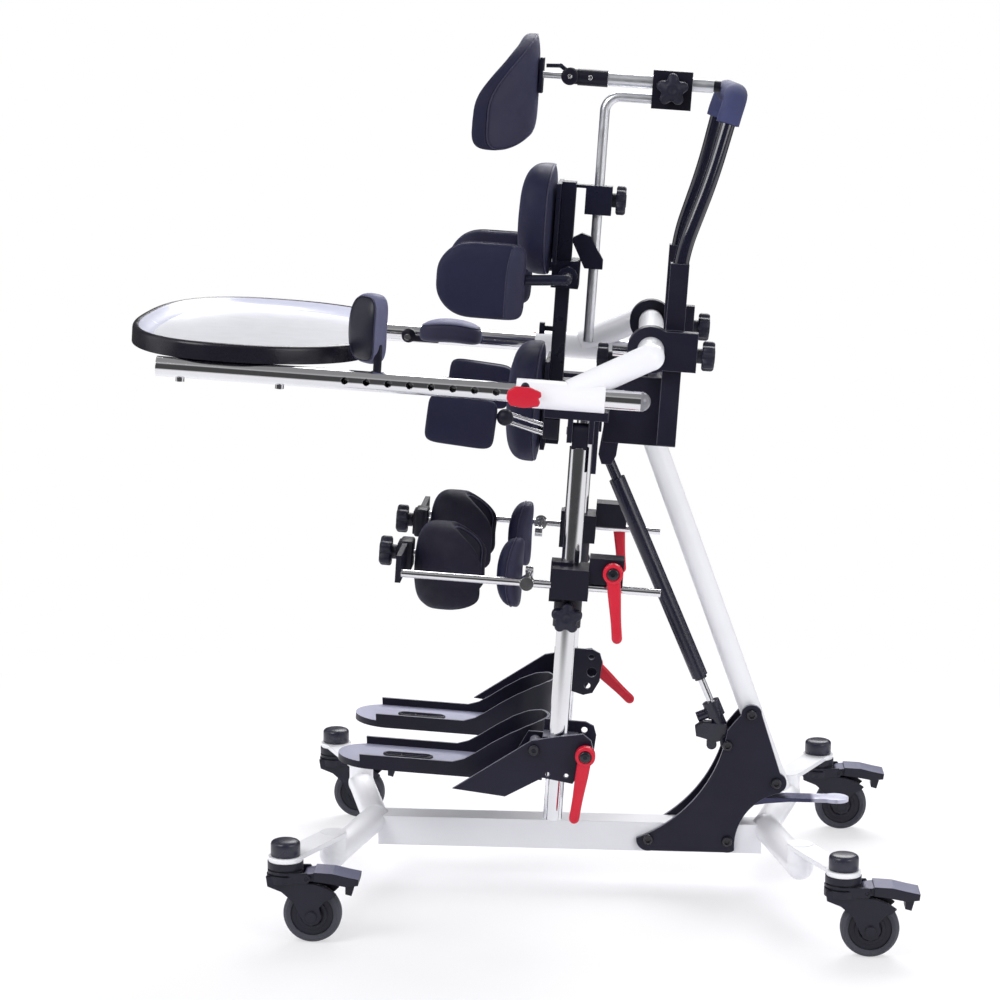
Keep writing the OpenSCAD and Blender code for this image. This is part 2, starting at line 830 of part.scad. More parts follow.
module knee_pads(side) {
    color(navy) in_support() {
        translate([-253, side * 125, -206]) cushion([31, 18, 116, 116], 0.52, 0.42, 52, 6, 0.4, 10);
        translate([-152, side * 143, -206]) cushion([20, 14.5, 58, 86], 0.6, 0.66, -4);
    }
}

module knee_pads_left() {
    knee_pads(-1);
}

module knee_pads_right() {
    knee_pads(1);
}

// Clamp lever: a hub on a pin along y and a flat arm that narrows to its round end
module clamp_lever(at, tip, side, y0, y1) {
    along = (tip - at) / norm(tip - at);
    across = [-along[1], along[0]];
    color(red) in_support() difference() {
        union() {
            along_y(at[0], at[1], 26, side * y0, side * y1);
            plate(
                [at + 9 * across, tip + 7 * across, tip - 7 * across, at - 9 * across],
                side * (y0 + 1), side * (y1 - 1)
            );
            along_y(tip[0], tip[1], 14, side * (y0 + 1), side * (y1 - 1));
        }
        along_y(at[0], at[1], 8 + 2 * run_gap, side * (y0 - 2), side * (y1 + 2));
    }
}

module knee_lever_left() {
    clamp_lever(knee_lever_at, knee_lever_at + lever_len * [0.13, -0.99], -1, 229, 243);
}

module knee_lever_right() {
    clamp_lever(knee_lever_at, knee_lever_at + lever_len * [0.13, -0.99], 1, 229, 243);
}

// Feet
module foot_bracket(side, rise) {
    outline = [
        [-210, -484], [-141, -489], [-94, -460], [-55, -465], [-31, -420],
        [-35, -406], [-46, -398], [-79, -404], [-112, -412]
    ];
    inner = [
        [-98, -446], [-53, -458], [-40, -454], [-31, -436],
        [-29, -408], [-33, -396], [-44, -391], [-98, -391]
    ];
    color(black) in_support() difference() {
        translate([0, 0, rise]) union() {
            plate(outline, side * 207, side * 212);
            plate(inner, side * 169, side * 173);
            box(-98, -53, side * 172, side * 208, -446, -406);
            along_y(foot_lever_at[0], foot_lever_at[1], 20, side * 190, side * 213);
            box(-58, -41, side * 190, side * 208, -436, -412);
            along_y(foot_lever_at[0], foot_lever_at[1], 8, side * 200, side * 230);
        }
        translate([leg_x, side * leg_y, -500]) cylinder(d = leg_d + 2 * run_gap, h = 150);
        along_y(sandal_pivot[0], sandal_pivot[1], bolt_d + 2 * run_gap, side * 200, side * 220);
        for (x = [-64, -88])
            along_y(x, rise - 455, 6, side * 200, side * 220);
        for (hole = [[-45, -402, 8], [-43, -424, 14], [-48, -444, 9]])
            along_y(hole[0], rise + hole[1], hole[2], side * 165, side * 180);
    }
}

module foot_bracket_left() {
    foot_bracket(-1, 0);
}

module foot_bracket_right() {
    foot_bracket(1, right_rise);
}

module sandal(side) {
    half = sandal_w / 2;
    heel = -92 - half;
    toe = -92 - sandal_len + half;
    // side wall outline: low along the forefoot, sweeping up to the heel
    wall = [
        [-336, sole_z - 10], [-338, sole_z + 10], [-215, sole_z + 10], [-200, sole_z + 15], [-186, sole_z + 24],
        [-164, sole_z + 40], [-142, sole_z + 54], [-122, sole_z + 64], [-104, sole_z + 70],
        [-80, sole_z + 72], [-80, sole_z - 10]
    ];
    color(black) in_support() difference() {
        union() {
            // sole
            translate([0, side * sandal_y, 0]) {
                box(toe, heel, -half, half, sole_z - 9, sole_z);
                translate([heel, 0, sole_z - 9]) cylinder(r = half, h = 9);
                translate([toe, 0, sole_z - 9]) cylinder(r = half, h = 9);
                // walls and heel cup share one sweeping outline
                intersection() {
                    difference() {
                        union() {
                            box(-345, heel, -half, half, sole_z - 5, sole_z + 90);
                            translate([heel, 0, sole_z - 5]) cylinder(r = half, h = 95);
                        }
                        box(-360, heel, -half + 4, half - 4, sole_z - 20, sole_z + 100);
                        translate([heel, 0, sole_z - 20]) cylinder(r = half - 4, h = 130);
                    }
                    plate(wall, -half - 5, half + 5);
                }
            }
            // lug and pivot bolt on the outer side
            plate(
                [[-150, sole_z - 5], [-118, -412], [-98, -412], [-96, sole_z - 5]],
                side * (sandal_y + half - 4), side * (sandal_y + half + 1)
            );
            along_y(sandal_pivot[0], sandal_pivot[1], 15, side * (sandal_y + half), side * 171);
            along_y(sandal_pivot[0], sandal_pivot[1], 15, side * 171, side * 206.5);
            along_y(sandal_pivot[0], sandal_pivot[1], bolt_d, side * 200, side * 214);
            along_y(sandal_pivot[0], sandal_pivot[1], 14, side * 212.4, side * 217);
        }
        // strap slots in the sole
        for (x = [-300, -170]) {
            translate([x, side * sandal_y, sole_z - 20]) cylinder(d = 12, h = 30);
            translate([x + 46, side * sandal_y, sole_z - 20]) cylinder(d = 12, h = 30);
            box(x, x + 46, side * sandal_y - 6, side * sandal_y + 6, sole_z - 20, sole_z + 5);
        }
    }
}

module sandal_left() {
    sandal(-1);
}

module sandal_right() {
    sandal(1);
}

module foot_lever_left() {
    clamp_lever(foot_lever_at, foot_lever_at + lever_len * [-0.1, -0.995], -1, 215, 229);
}

module foot_lever_right() {
    at = foot_lever_at + [0, right_rise];
    clamp_lever(at, at + (lever_len - 12) * [0.76, -0.65], 1, 215, 229);
}

// Head support
module head_post() {
    color(chrome) in_support() {
        translate([-80, 0, 86]) cylinder(d = head_post_d, h = 306);
        translate([-60, 0, 392])
            rotate([90, 0, 0])
                rotate([0, 0, 90])
                    rotate_extrude(angle = 90)
                        translate([20, 0])
                            circle(d = head_post_d);
        along_x(0, 412, head_post_d, -60, 27);
    }
}

module head_clamp() {
    color(black) in_support() difference() {
        union() {
            box(-20, 32, -15, 15, 400, 450);
            translate([6, -15, 426]) rotate([90, 0, 0]) star_knob(42, 20);
        }
        along_x(0, 412, head_post_d + 2 * seat_gap, -30, 28);
        along_x(0, 434, head_bar_d + 2 * run_gap, -30, 40);
    }
}

module head_bar() {
    color(chrome) in_support() difference() {
        union() {
            along_x(0, 434, head_bar_d, -90, 60);
            along_x(0, 434, head_bar_d - 3, 58, 69);
            along_x(0, 434, 22, -126, -79);
            ball([head_ball[0], 0, head_ball[1]], 24);
        }
        along_y(head_ball[0], head_ball[1], 6 + 2 * run_gap, -20, 20);
        box(-145, -118.5, -5.2, 5.2, 418, 450);
    }
}

module headrest_stem() {
    color(chrome) in_support() {
        along_y(head_ball[0], head_ball[1], 6, -10, 10);
        along_y(head_ball[0], head_ball[1], 16, -5, 5);
        along_x(0, head_ball[1], 9, -166, head_ball[0]);
        box(-168.6, -164, -24, 24, 410, 456);
        // locking lever that lies back over the stem
        rod([head_ball[0], 0, head_ball[1] + 4], [-142, 0, 447], 6);
        ball([-142, 0, 447], 6.5);
        rod([-142, 0, 447], [-161, 0, 446], 5.5);
    }
}

module headrest_pad() {
    color(navy) in_support()
        translate([-180, 0, 420])
            cushion([26, 11, 190, 118], 0.46, 0.5, -56, 1, 0.15, 56, bow = 1.64, hang = 1.15);
}

// Push handle, a bent loop that slides in the two uprights
module handle_path(d) {
    for (s = [-1, 1]) {
        knee = [63, s * 148, 322];
        neck = [80.5, s * 141, 402];
        end = [handle_bar[0], s * handle_half, handle_bar[1]];
        foot = [32, s * upright_y, 221];
        translate([32, s * upright_y, 100]) cylinder(d = d, h = 121);
        ball(foot, d + 0.6);
        rod(foot, knee, d);
        ball(knee, d + 0.6);
        rod(knee, neck, d);
        ball(neck, d + 0.6);
        rod(neck, end, d);
        ball(end, d + 0.6);
    }
    along_y(handle_bar[0], handle_bar[1], d, -handle_half, handle_half);
}

module push_handle() {
    color(black) in_support() handle_path(handle_d);
}

module handle_grip() {
    color(navy) in_support() difference() {
        union() {
            for (s = [-1, 1]) {
                neck = [80.5, s * 141, 402];
                end = [handle_bar[0], s * handle_half, handle_bar[1]];
                rod(neck + 0.14 * ([63, s * 148, 322] - neck), neck, grip_d);
                ball(neck, grip_d + 0.8);
                rod(neck, end, grip_d);
                ball(end, grip_d + 0.8);
            }
            along_y(handle_bar[0], handle_bar[1], grip_d, -handle_half, handle_half);
        }
        handle_path(handle_d + 2 * seat_gap);
    }
}

base_frame();
socket_caps();
side_plates();
plate_bolts();
mast();
castor_fork(-1, -1);  // castor_fork_front_left
castor_fork(-1, 1);  // castor_fork_front_right
castor_fork(1, -1);  // castor_fork_rear_left
castor_fork(1, 1);  // castor_fork_rear_right
castor_wheel(-1, -1);  // castor_wheel_front_left
castor_wheel(-1, 1);  // castor_wheel_front_right
castor_wheel(1, -1);  // castor_wheel_rear_left
castor_wheel(1, 1);  // castor_wheel_rear_right
castor_pedal(-1, -1);  // castor_pedal_front_left
castor_pedal(-1, 1);  // castor_pedal_front_right
castor_pedal(1, -1);  // castor_pedal_rear_left
castor_pedal(1, 1);  // castor_pedal_rear_right
gas_spring_rod();
gas_spring_body();
release_pedal();
carrier();
back_post();
star_knobs();
pelvis_pad();
hip_arms();
hip_pads();
chest_bracket();
chest_pad();
lateral_pads();
tray_arms();
tray_tubes();
tray_board();
tray_rim();
elbow_pad_left();
elbow_pad_right();
tray_pin_left();
tray_pin_right();
leg_tube_left();
leg_tube_right();
knee_clamp_left();
knee_clamp_right();
knee_rod_left();
knee_rod_right();
knee_pads_left();
knee_pads_right();
knee_lever_left();
knee_lever_right();
foot_bracket_left();
foot_bracket_right();
sandal_left();
sandal_right();
foot_lever_left();
foot_lever_right();
head_post();
head_clamp();
head_bar();
headrest_stem();
headrest_pad();
push_handle();
handle_grip();
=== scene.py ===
import json
import math
import bmesh
import bpy
from mathutils import Matrix, Vector, noise
from mathutils.bvhtree import BVHTree


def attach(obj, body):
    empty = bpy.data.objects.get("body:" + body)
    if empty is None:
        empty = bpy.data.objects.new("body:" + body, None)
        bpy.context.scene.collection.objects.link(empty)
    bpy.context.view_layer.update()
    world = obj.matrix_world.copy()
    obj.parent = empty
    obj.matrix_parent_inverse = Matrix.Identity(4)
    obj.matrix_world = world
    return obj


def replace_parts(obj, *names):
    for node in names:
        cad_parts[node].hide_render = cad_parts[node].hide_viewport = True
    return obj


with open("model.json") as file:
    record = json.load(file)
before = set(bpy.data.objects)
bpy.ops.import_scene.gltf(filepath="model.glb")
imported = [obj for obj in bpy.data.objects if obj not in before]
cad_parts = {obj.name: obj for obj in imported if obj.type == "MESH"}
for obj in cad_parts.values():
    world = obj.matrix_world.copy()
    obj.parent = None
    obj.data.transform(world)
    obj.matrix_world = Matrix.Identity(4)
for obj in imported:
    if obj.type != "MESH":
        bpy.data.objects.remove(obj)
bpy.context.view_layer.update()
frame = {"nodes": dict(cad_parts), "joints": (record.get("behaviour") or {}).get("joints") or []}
nodes = frame["nodes"]
jointAt = {j["name"]: Vector(j["pos_m"]) for j in frame["joints"] if "pos_m" in j}
mm = 0.001
bothSides = (("Left", "left", -1), ("Right", "right", 1))

# the body support leans about its tilt pivot; the base is measured from the middle of the wheelbase
lean = math.radians(3.3)
pivotBehind = 0.090
tiltAt = jointAt["tilt"]
support = Matrix.Translation(tiltAt) @ Matrix.Rotation(lean, 4, "Y")
fromSupport = support.inverted()
ground = Matrix.Translation((tiltAt.x - pivotBehind, 0, 0))


def shift(x, y, z):
    return Matrix.Translation(Vector((x, y, z)) * mm)


def turned(axis, degrees):
    return Matrix.Rotation(math.radians(degrees), 4, axis)


def outward(s):
    # turns a form that stands up so that it points away from the middle
    return "X", -s * 90


def at(u, y, w, *turns):
    # place on the body support, in millimetres
    place = support @ shift(u, y, w)
    for axis, degrees in turns:
        place = place @ turned(axis, degrees)
    return place


def sideAt(s, spot, *turns):
    u, y, w = spot
    return at(u, s * y, w, *turns)


def onGround(x, y, z):
    return ground @ Vector((x * mm, y * mm, z * mm))


# stage

photoView = {"place": (98.4, -3756.1, 1164.4), "yaw": -3.03, "pitch": 9.59, "roll": 0.58, "lens": 101.72,
             "sensor": 36, "farthest": 100}


def setCamera():
    yaw, pitch, roll = (math.radians(photoView[k]) for k in ("yaw", "pitch", "roll"))
    look = Vector((math.sin(yaw) * math.cos(pitch), math.cos(yaw) * math.cos(pitch), -math.sin(pitch)))
    right = Vector((math.cos(yaw), -math.sin(yaw), 0))
    up = right.cross(look)
    side = right * math.cos(roll) + up * math.sin(roll)
    head = up * math.cos(roll) - right * math.sin(roll)
    turn = Matrix((side, head, -look)).transposed().to_4x4()
    turn.translation = onGround(*photoView["place"])
    lens = bpy.data.cameras.new("photoCamera")
    lens.lens = photoView["lens"]
    lens.sensor_width = photoView["sensor"]
    lens.clip_end = photoView["farthest"]
    camera = bpy.data.objects.new("photoCamera", lens)
    camera.matrix_world = turn
    bpy.context.scene.collection.objects.link(camera)
    bpy.context.scene.camera = camera


def setInputs(node, values):
    for key, value in values.items():
        node.inputs[key].default_value = value


def put(tree, kind, values=None, **props):
    node = tree.nodes.new(kind)
    for key, value in props.items():
        setattr(node, key, value)
    setInputs(node, values or {})
    return node


def wire(tree, source, outName, target, inName):
    tree.links.new(source.outputs[outName], target.inputs[inName])


def freshTree(owner):
    owner.use_nodes = True
    owner.node_tree.nodes.clear()
    return owner.node_tree


def fade(tree, source, low, high, strong=1.0, weak=0.0):
    # smooth step from weak at low to strong at high
    span = put(tree, "ShaderNodeMapRange", {"From Min": low, "From Max": high, "To Min": weak, "To Max": strong},
               interpolation_type="SMOOTHSTEP")
    tree.links.new(source, span.inputs["Value"])
    return span.outputs["Result"]


def blendMath(tree, operation, first, second):
    node = put(tree, "ShaderNodeMath", operation=operation)
    for socket, value in zip(node.inputs, (first, second)):
        if isinstance(value, (int, float)):
            socket.default_value = value
        else:
            tree.links.new(value, socket)
    return node.outputs[0]


pureWhite = (1, 1, 1, 1)
studio = {"sky": 0.58, "skyTint": (0.95, 0.96, 1, 1), "floor": (0.90, 0.89, 0.93), "floorSize": 40,
          "room": 0.07, "roomSide": (0.30, 0.62), "roomTop": (0.80, 0.50),
          "ceiling": 0.75, "ceilingRise": (0.45, 0.85),
          "floorSide": (1.2, 2.4), "floorFar": (0.75, 1.5), "floorNear": 0.55, "aim": (0, 0, 0.55),
          "lamps": {"keyLight": {"place": (-1.9, -2.0, 2.6), "size": 1.6, "power": 50},
                    "fillLight": {"place": (2.3, -2.2, 1.5), "size": 1.6, "power": 27},
                    "backLight": {"place": (0.5, 2.2, 2.7), "size": 2.4, "power": 112}}}


def dimGlow(tree, ray, dim):
    # only polished faces see the dim parts of the room
    dim = blendMath(tree, "MULTIPLY", dim, ray.outputs["Is Glossy Ray"])
    return blendMath(tree, "SUBTRACT", 1.0, blendMath(tree, "MULTIPLY", dim, 1 - studio["room"]))


def seenDirectly(tree, ray):
    return blendMath(tree, "MAXIMUM", ray.outputs["Is Camera Ray"], ray.outputs["Is Glossy Ray"])


def mixGlow(tree, share, dull, bright, glow, outKind):
    tree.links.new(glow, bright.inputs["Strength"])
    mix = put(tree, "ShaderNodeMixShader")
    out = put(tree, outKind)
    tree.links.new(share, mix.inputs[0])
    tree.links.new(dull.outputs[0], mix.inputs[1])
    tree.links.new(bright.outputs[0], mix.inputs[2])
    wire(tree, mix, 0, out, 0)


def setSky(scene):
    # white to the lens; polished metal also sees the dim room on the two long sides and a dim ceiling
    world = bpy.data.worlds.new("studioSky")
    scene.world = world
    tree = freshTree(world)
    ray = put(tree, "ShaderNodeLightPath")
    way = put(tree, "ShaderNodeTexCoord")
    parts = put(tree, "ShaderNodeSeparateXYZ")
    wire(tree, way, "Generated", parts, 0)
    across = blendMath(tree, "ABSOLUTE", parts.outputs["Y"], 0)
    room = blendMath(tree, "MULTIPLY", fade(tree, across, *studio["roomSide"]),
                     fade(tree, parts.outputs["Z"], *studio["roomTop"]))
    ceiling = fade(tree, parts.outputs["Z"], *studio["ceilingRise"], studio["ceiling"])
    glow = dimGlow(tree, ray, blendMath(tree, "MAXIMUM", room, ceiling))
    seen = blendMath(tree, "MAXIMUM", seenDirectly(tree, ray), ray.outputs["Is Transmission Ray"])
    lamp = put(tree, "ShaderNodeBackground", {"Color": studio["skyTint"], "Strength": studio["sky"]})
    white = put(tree, "ShaderNodeBackground", {"Color": pureWhite})
    mixGlow(tree, seen, lamp, white, glow, "ShaderNodeOutputWorld")


def setFloor(scene):
    # pale paper, lit near the object and fading into the white backdrop further out
    bm = bmesh.new()
    bmesh.ops.create_grid(bm, x_segments=2, y_segments=2, size=studio["floorSize"])
    mesh = bpy.data.meshes.new("studioFloor")
    bm.to_mesh(mesh)
    bm.free()
    floor = bpy.data.objects.new("studioFloor", mesh)
    scene.collection.objects.link(floor)
    paint = bpy.data.materials.new("floorPaper")
    tree = freshTree(paint)
    ray = put(tree, "ShaderNodeLightPath")
    where = put(tree, "ShaderNodeTexCoord")
    far = put(tree, "ShaderNodeVectorMath", operation="LENGTH")
    parts = put(tree, "ShaderNodeSeparateXYZ")
    wire(tree, where, "Object", far, 0)
    wire(tree, where, "Object", parts, 0)
    across = blendMath(tree, "ABSOLUTE", parts.outputs["Y"], 0)
    glow = dimGlow(tree, ray, fade(tree, across, *studio["floorSide"]))
    share = blendMath(tree, "MULTIPLY", seenDirectly(tree, ray),
                      fade(tree, far.outputs["Value"], *studio["floorFar"], 1.0, studio["floorNear"]))
    matte = put(tree, "ShaderNodeBsdfDiffuse", {"Color": (*studio["floor"], 1)})
    white = put(tree, "ShaderNodeEmission", {"Color": pureWhite})
    mixGlow(tree, share, matte, white, glow, "ShaderNodeOutputMaterial")
    mesh.materials.append(paint)


def setStudio():
    scene = bpy.context.scene
    scene.view_settings.view_transform = "Standard"
    setSky(scene)
    setFloor(scene)
    for name, lamp in studio["lamps"].items():
        data = bpy.data.lights.new(name, "AREA")
        data.energy = lamp["power"]
        data.size = lamp["size"]
        light = bpy.data.objects.new(name, data)
        aim = Vector(studio["aim"]) - Vector(lamp["place"])
        light.matrix_world = Matrix.Translation(lamp["place"]) @ aim.to_track_quat("-Z", "Y").to_matrix().to_4x4()
        scene.collection.objects.link(light)


setCamera()
setStudio()
print("stage set")


# finishes: what each kind shares, then its own look

mixShare, mixFirst, mixSecond, mixResult = 0, 6, 7, 2  # colour sockets of a Mix node
cloudLook = {"detail": 3.0, "rough": 0.55, "darkAt": 0.32, "lightAt": 0.70}
smearLook = {"detail": 4.0, "low": 0.3, "high": 0.7}
grainLook = {"detail": 2.0, "height": 0.0004}
edgeHighlightLook = {"samples": 6, "flat": 0.985, "edge": 0.90}
edgeSamples = 4
coatBase = {"clouds": 9, "smears": 40, "vary": 0.05, "depth": 0.22, "coat": 0.0, "gloss": 0.18, "shine": 0.5}
steelBase = {"fade": 0.94, "clouds": 14, "smears": 90, "brightest": 0.85, "dullest": 1.2, "lines": 40.0,
             "lineDetail": 3.0, "lineHeight": 0.0002, "edge": 0.0007}
coverBase = {"fade": 0.78, "clouds": 11, "smears": 60, "vary": 0.07, "waver": 0.6, "loopDetail": 1.0,
             "loopHeight": 0.0004, "creases": 26.0, "creaseDetail": 3.0, "crease": 0.16, "creaseHeight": 0.004,
             "sheenRough": 0.40, "sheenTint": (0.55, 0.56, 1.0, 1), "shine": 0.3}


def startFinish(name, look, metal=0.0):
    finish = bpy.data.materials.new(name)
    tree = freshTree(finish)
    shader = put(tree, "ShaderNodeBsdfPrincipled",
                 {"Base Color": (*look["colour"], 1), "Roughness": look["rough"], "Metallic": metal})
    out = put(tree, "ShaderNodeOutputMaterial")
    where = put(tree, "ShaderNodeTexCoord")
    wire(tree, shader, "BSDF", out, "Surface")
    return finish, tree, shader, where


def cloudNoise(tree, where, scale, detail, outName="Object", **more):
    cloud = put(tree, "ShaderNodeTexNoise", {"Scale": scale, "Detail": detail, **more})
    wire(tree, where, outName, cloud, "Vector")
    return cloud.outputs[0]


def shadeByNoise(tree, shader, where, look):
    cloud = cloudNoise(tree, where, look["clouds"], cloudLook["detail"], Roughness=cloudLook["rough"])
    ramp = put(tree, "ShaderNodeValToRGB")
    dark, light = ramp.color_ramp.elements
    dark.position = cloudLook["darkAt"]
    dark.color = (*[c * look["fade"] for c in look["colour"]], 1)
    light.position = cloudLook["lightAt"]
    light.color = (*look["colour"], 1)
    tree.links.new(cloud, ramp.inputs[0])
    wire(tree, ramp, "Color", shader, "Base Color")


def roughByNoise(tree, shader, where, low, high, scale):
    cloud = cloudNoise(tree, where, scale, smearLook["detail"])
    span = put(tree, "ShaderNodeMapRange", {"From Min": smearLook["low"], "From Max": smearLook["high"],
                                            "To Min": low, "To Max": high})
    tree.links.new(cloud, span.inputs["Value"])
    wire(tree, span, "Result", shader, "Roughness")


def bumpBy(tree, height, strength, distance):
    bump = put(tree, "ShaderNodeBump", {"Strength": strength, "Distance": distance})
    tree.links.new(height, bump.inputs["Height"])
    return bump


def softenEdges(tree, bump, radius):
    soft = put(tree, "ShaderNodeBevel", {"Radius": radius}, samples=edgeSamples)
    wire(tree, soft, "Normal", bump, "Normal")


def grain(tree, shader, where, look):
    cloud = cloudNoise(tree, where, look["peel"], grainLook["detail"])
    bump = bumpBy(tree, cloud, look["depth"], grainLook["height"])
    if look["edge"]:
        softenEdges(tree, bump, look["edge"])
    wire(tree, bump, "Normal", shader, "Normal")


def mixBase(tree, shader, share, colour, colourAt, baseAt):
    # blends a plain colour with what the base colour was
    base = shader.inputs["Base Color"].links[0].from_socket
    mix = put(tree, "ShaderNodeMix", data_type="RGBA")
    mix.inputs[colourAt].default_value = (*colour, 1)
    tree.links.new(share, mix.inputs[mixShare])
    tree.links.new(base, mix.inputs[baseAt])
    tree.links.new(mix.outputs[mixResult], shader.inputs["Base Color"])


def paintedEdgeHighlight(tree, shader, look):
    # painted highlight: the bevelled normal leaves the true one only along an edge, which is drawn paler
    soft = put(tree, "ShaderNodeBevel", {"Radius": look["lineWidth"]}, samples=edgeHighlightLook["samples"])
    face = put(tree, "ShaderNodeNewGeometry")
    near = put(tree, "ShaderNodeVectorMath", operation="DOT_PRODUCT")
    wire(tree, soft, "Normal", near, 0)
    wire(tree, face, "True Normal", near, 1)
    share = fade(tree, near.outputs["Value"], edgeHighlightLook["flat"], edgeHighlightLook["edge"])
    mixBase(tree, shader, share, look["line"], mixSecond, mixFirst)


def coatFinish(name, own):
    look = {**coatBase, **own}
    finish, tree, shader, where = startFinish(name, look)
    shadeByNoise(tree, shader, where, look)
    roughByNoise(tree, shader, where, look["rough"] - look["vary"], look["rough"] + look["vary"], look["smears"])
    grain(tree, shader, where, look)
    setInputs(shader, {"Coat Weight": look["coat"], "Coat Roughness": look["gloss"],
                       "Specular IOR Level": look["shine"]})
    # a line colour adds a painted highlight along the edges
    if "line" in look:
        paintedEdgeHighlight(tree, shader, look)
    return finish


def steelFinish(name, own):
    look = {**steelBase, **own}
    finish, tree, shader, where = startFinish(name, look, 1.0)
    shadeByNoise(tree, shader, where, look)
    roughByNoise(tree, shader, where, look["rough"] * look["brightest"], look["rough"] * look["dullest"],
                 look["smears"])
    # drawn lines run along the long axis of the piece
    lines = put(tree, "ShaderNodeMapping", {"Scale": look["draw"]})
    wire(tree, where, "Object", lines, "Vector")
    cloud = cloudNoise(tree, lines, look["lines"], look["lineDetail"], "Vector")
    bump = bumpBy(tree, cloud, look["mark"], look["lineHeight"])
    softenEdges(tree, bump, look["edge"])
    wire(tree, bump, "Normal", shader, "Normal")
    return finish


def pedalFinish(name, own):
    # a pale pad and an arm painted dark as the steel's dark reflection, told apart by their place along the base
    finish = steelFinish(name, own)
    tree = finish.node_tree
    shader, where = (next(n for n in tree.nodes if n.type == kind) for kind in ("BSDF_PRINCIPLED", "TEX_COORD"))
    parts = put(tree, "ShaderNodeSeparateXYZ")
    wire(tree, where, "Object", parts, 0)
    padStart = ground.translation.x + own["padAt"]
    share = fade(tree, parts.outputs["X"], padStart - own["blur"], padStart + own["blur"])
    mixBase(tree, shader, share, own["arm"], mixFirst, mixSecond)
    return finish


def coverFinish(name, own):
    look = {**coverBase, **own}
    finish, tree, shader, where = startFinish(name, look)
    shadeByNoise(tree, shader, where, look)
    # two crossing rows of loops make the knit face of the cover
    heights = []
    for direction in ("X", "Z"):
        row = put(tree, "ShaderNodeTexWave",
                  {"Scale": look["loops"], "Distortion": look["waver"], "Detail": look["loopDetail"]},
                  wave_type="BANDS", bands_direction=direction)
        wire(tree, where, "Object", row, "Vector")
        heights.append(row.outputs["Fac"])
    weave = bumpBy(tree, blendMath(tree, "MULTIPLY", *heights), look["weave"], look["loopHeight"])
    crease = cloudNoise(tree, where, look["creases"], look["creaseDetail"])
    wire(tree, bumpBy(tree, crease, look["crease"], look["creaseHeight"]), "Normal", weave, "Normal")
    wire(tree, weave, "Normal", shader, "Normal")
    roughByNoise(tree, shader, where, look["rough"] - look["vary"], look["rough"] + look["vary"], look["smears"])
    setInputs(shader, {"Sheen Weight": look["sheen"], "Sheen Roughness": look["sheenRough"],
                       "Sheen Tint": look["sheenTint"], "Specular IOR Level": look["shine"]})
    return finish


whiteCoat = coatFinish("whiteCoat", {
    "colour": (0.88, 0.88, 0.905), "fade": 0.96, "rough": 0.34, "peel": 420, "edge": 0.0016, "coat": 0.25})
blackCoat = coatFinish("blackCoat", {
    "colour": (0.0098, 0.0102, 0.028), "fade": 0.75, "rough": 0.30, "peel": 900, "edge": 0.0012, "shine": 0.35})
glossBlack = coatFinish("glossBlack", {
    "colour": (0.0085, 0.0088, 0.022), "fade": 0.8, "rough": 0.16, "peel": 300, "edge": 0.0, "depth": 0.05,
    "coat": 0.6, "gloss": 0.06})
# its line colour is a painted highlight along the plate edges
plateCoat = coatFinish("plateCoat", {
    "colour": (0.0105, 0.0098, 0.0255), "fade": 0.80, "rough": 0.40, "peel": 900, "edge": 0.0014, "shine": 0.3,
    "line": (0.15, 0.15, 0.19), "lineWidth": 0.0011})
# painted highlight: the upward edge faces of the black plates and sandal walls, drawn paler for the light they catch
plateTopHighlight = coatFinish("plateTopHighlight", {
    "colour": (0.20, 0.20, 0.25), "fade": 0.80, "rough": 0.34, "peel": 900, "edge": 0.0008})
mouldedBlack = coatFinish("mouldedBlack", {
    "colour": (0.0085, 0.0080, 0.0205), "fade": 0.70, "rough": 0.42, "peel": 1500, "edge": 0.0015, "depth": 0.3,
    "shine": 0.3})
knobBlack = coatFinish("knobBlack", {
    "colour": (0.012, 0.0122, 0.031), "fade": 0.75, "rough": 0.44, "peel": 1600, "edge": 0.0, "depth": 0.4,
    "shine": 0.4})
boltBlack = coatFinish("boltBlack", {
    "colour": (0.014, 0.014, 0.022), "fade": 0.75, "rough": 0.26, "peel": 800, "edge": 0.0})
castorBlack = coatFinish("castorBlack", {
    "colour": (0.011, 0.0105, 0.023), "fade": 0.72, "rough": 0.42, "peel": 1300, "edge": 0.0022, "depth": 0.3,
    "shine": 0.35})
capBlack = coatFinish("capBlack", {
    "colour": (0.020, 0.020, 0.038), "fade": 0.8, "rough": 0.30, "peel": 1300, "edge": 0.0, "depth": 0.25})
# painted highlight: the upward faces of the black castor pedals take this lighter colour for the back light they catch
castorTopSheen = coatFinish("castorTopSheen", {
    "colour": (0.150, 0.150, 0.235), "fade": 0.85, "rough": 0.40, "peel": 1300, "edge": 0.0025, "depth": 0.3})
leverRed = coatFinish("leverRed", {
    "colour": (0.62, 0.011, 0.034), "fade": 0.86, "rough": 0.36, "peel": 900, "edge": 0.0, "coat": 0.1, "shine": 0.3})
slopeWhite = coatFinish("slopeWhite", {
    "colour": (0.66, 0.67, 0.80), "fade": 0.97, "rough": 0.26, "peel": 260, "edge": 0.0, "depth": 0.03, "coat": 0.3,
    "vary": 0.015})
trayWhite = coatFinish("trayWhite", {
    "colour": (0.90, 0.905, 0.94), "fade": 0.985, "rough": 0.22, "peel": 260, "edge": 0.001, "depth": 0.03,
    "coat": 0.4, "vary": 0.015})
rimBlack = coatFinish("rimBlack", {
    "colour": (0.0105, 0.0092, 0.0165), "fade": 0.78, "rough": 0.28, "peel": 800, "edge": 0.0, "coat": 0.1,
    "shine": 0.35})
tyreGrey = coatFinish("tyreGrey", {
    "colour": (0.060, 0.061, 0.078), "fade": 0.85, "rough": 0.62, "peel": 700, "edge": 0.0012, "shine": 0.3})
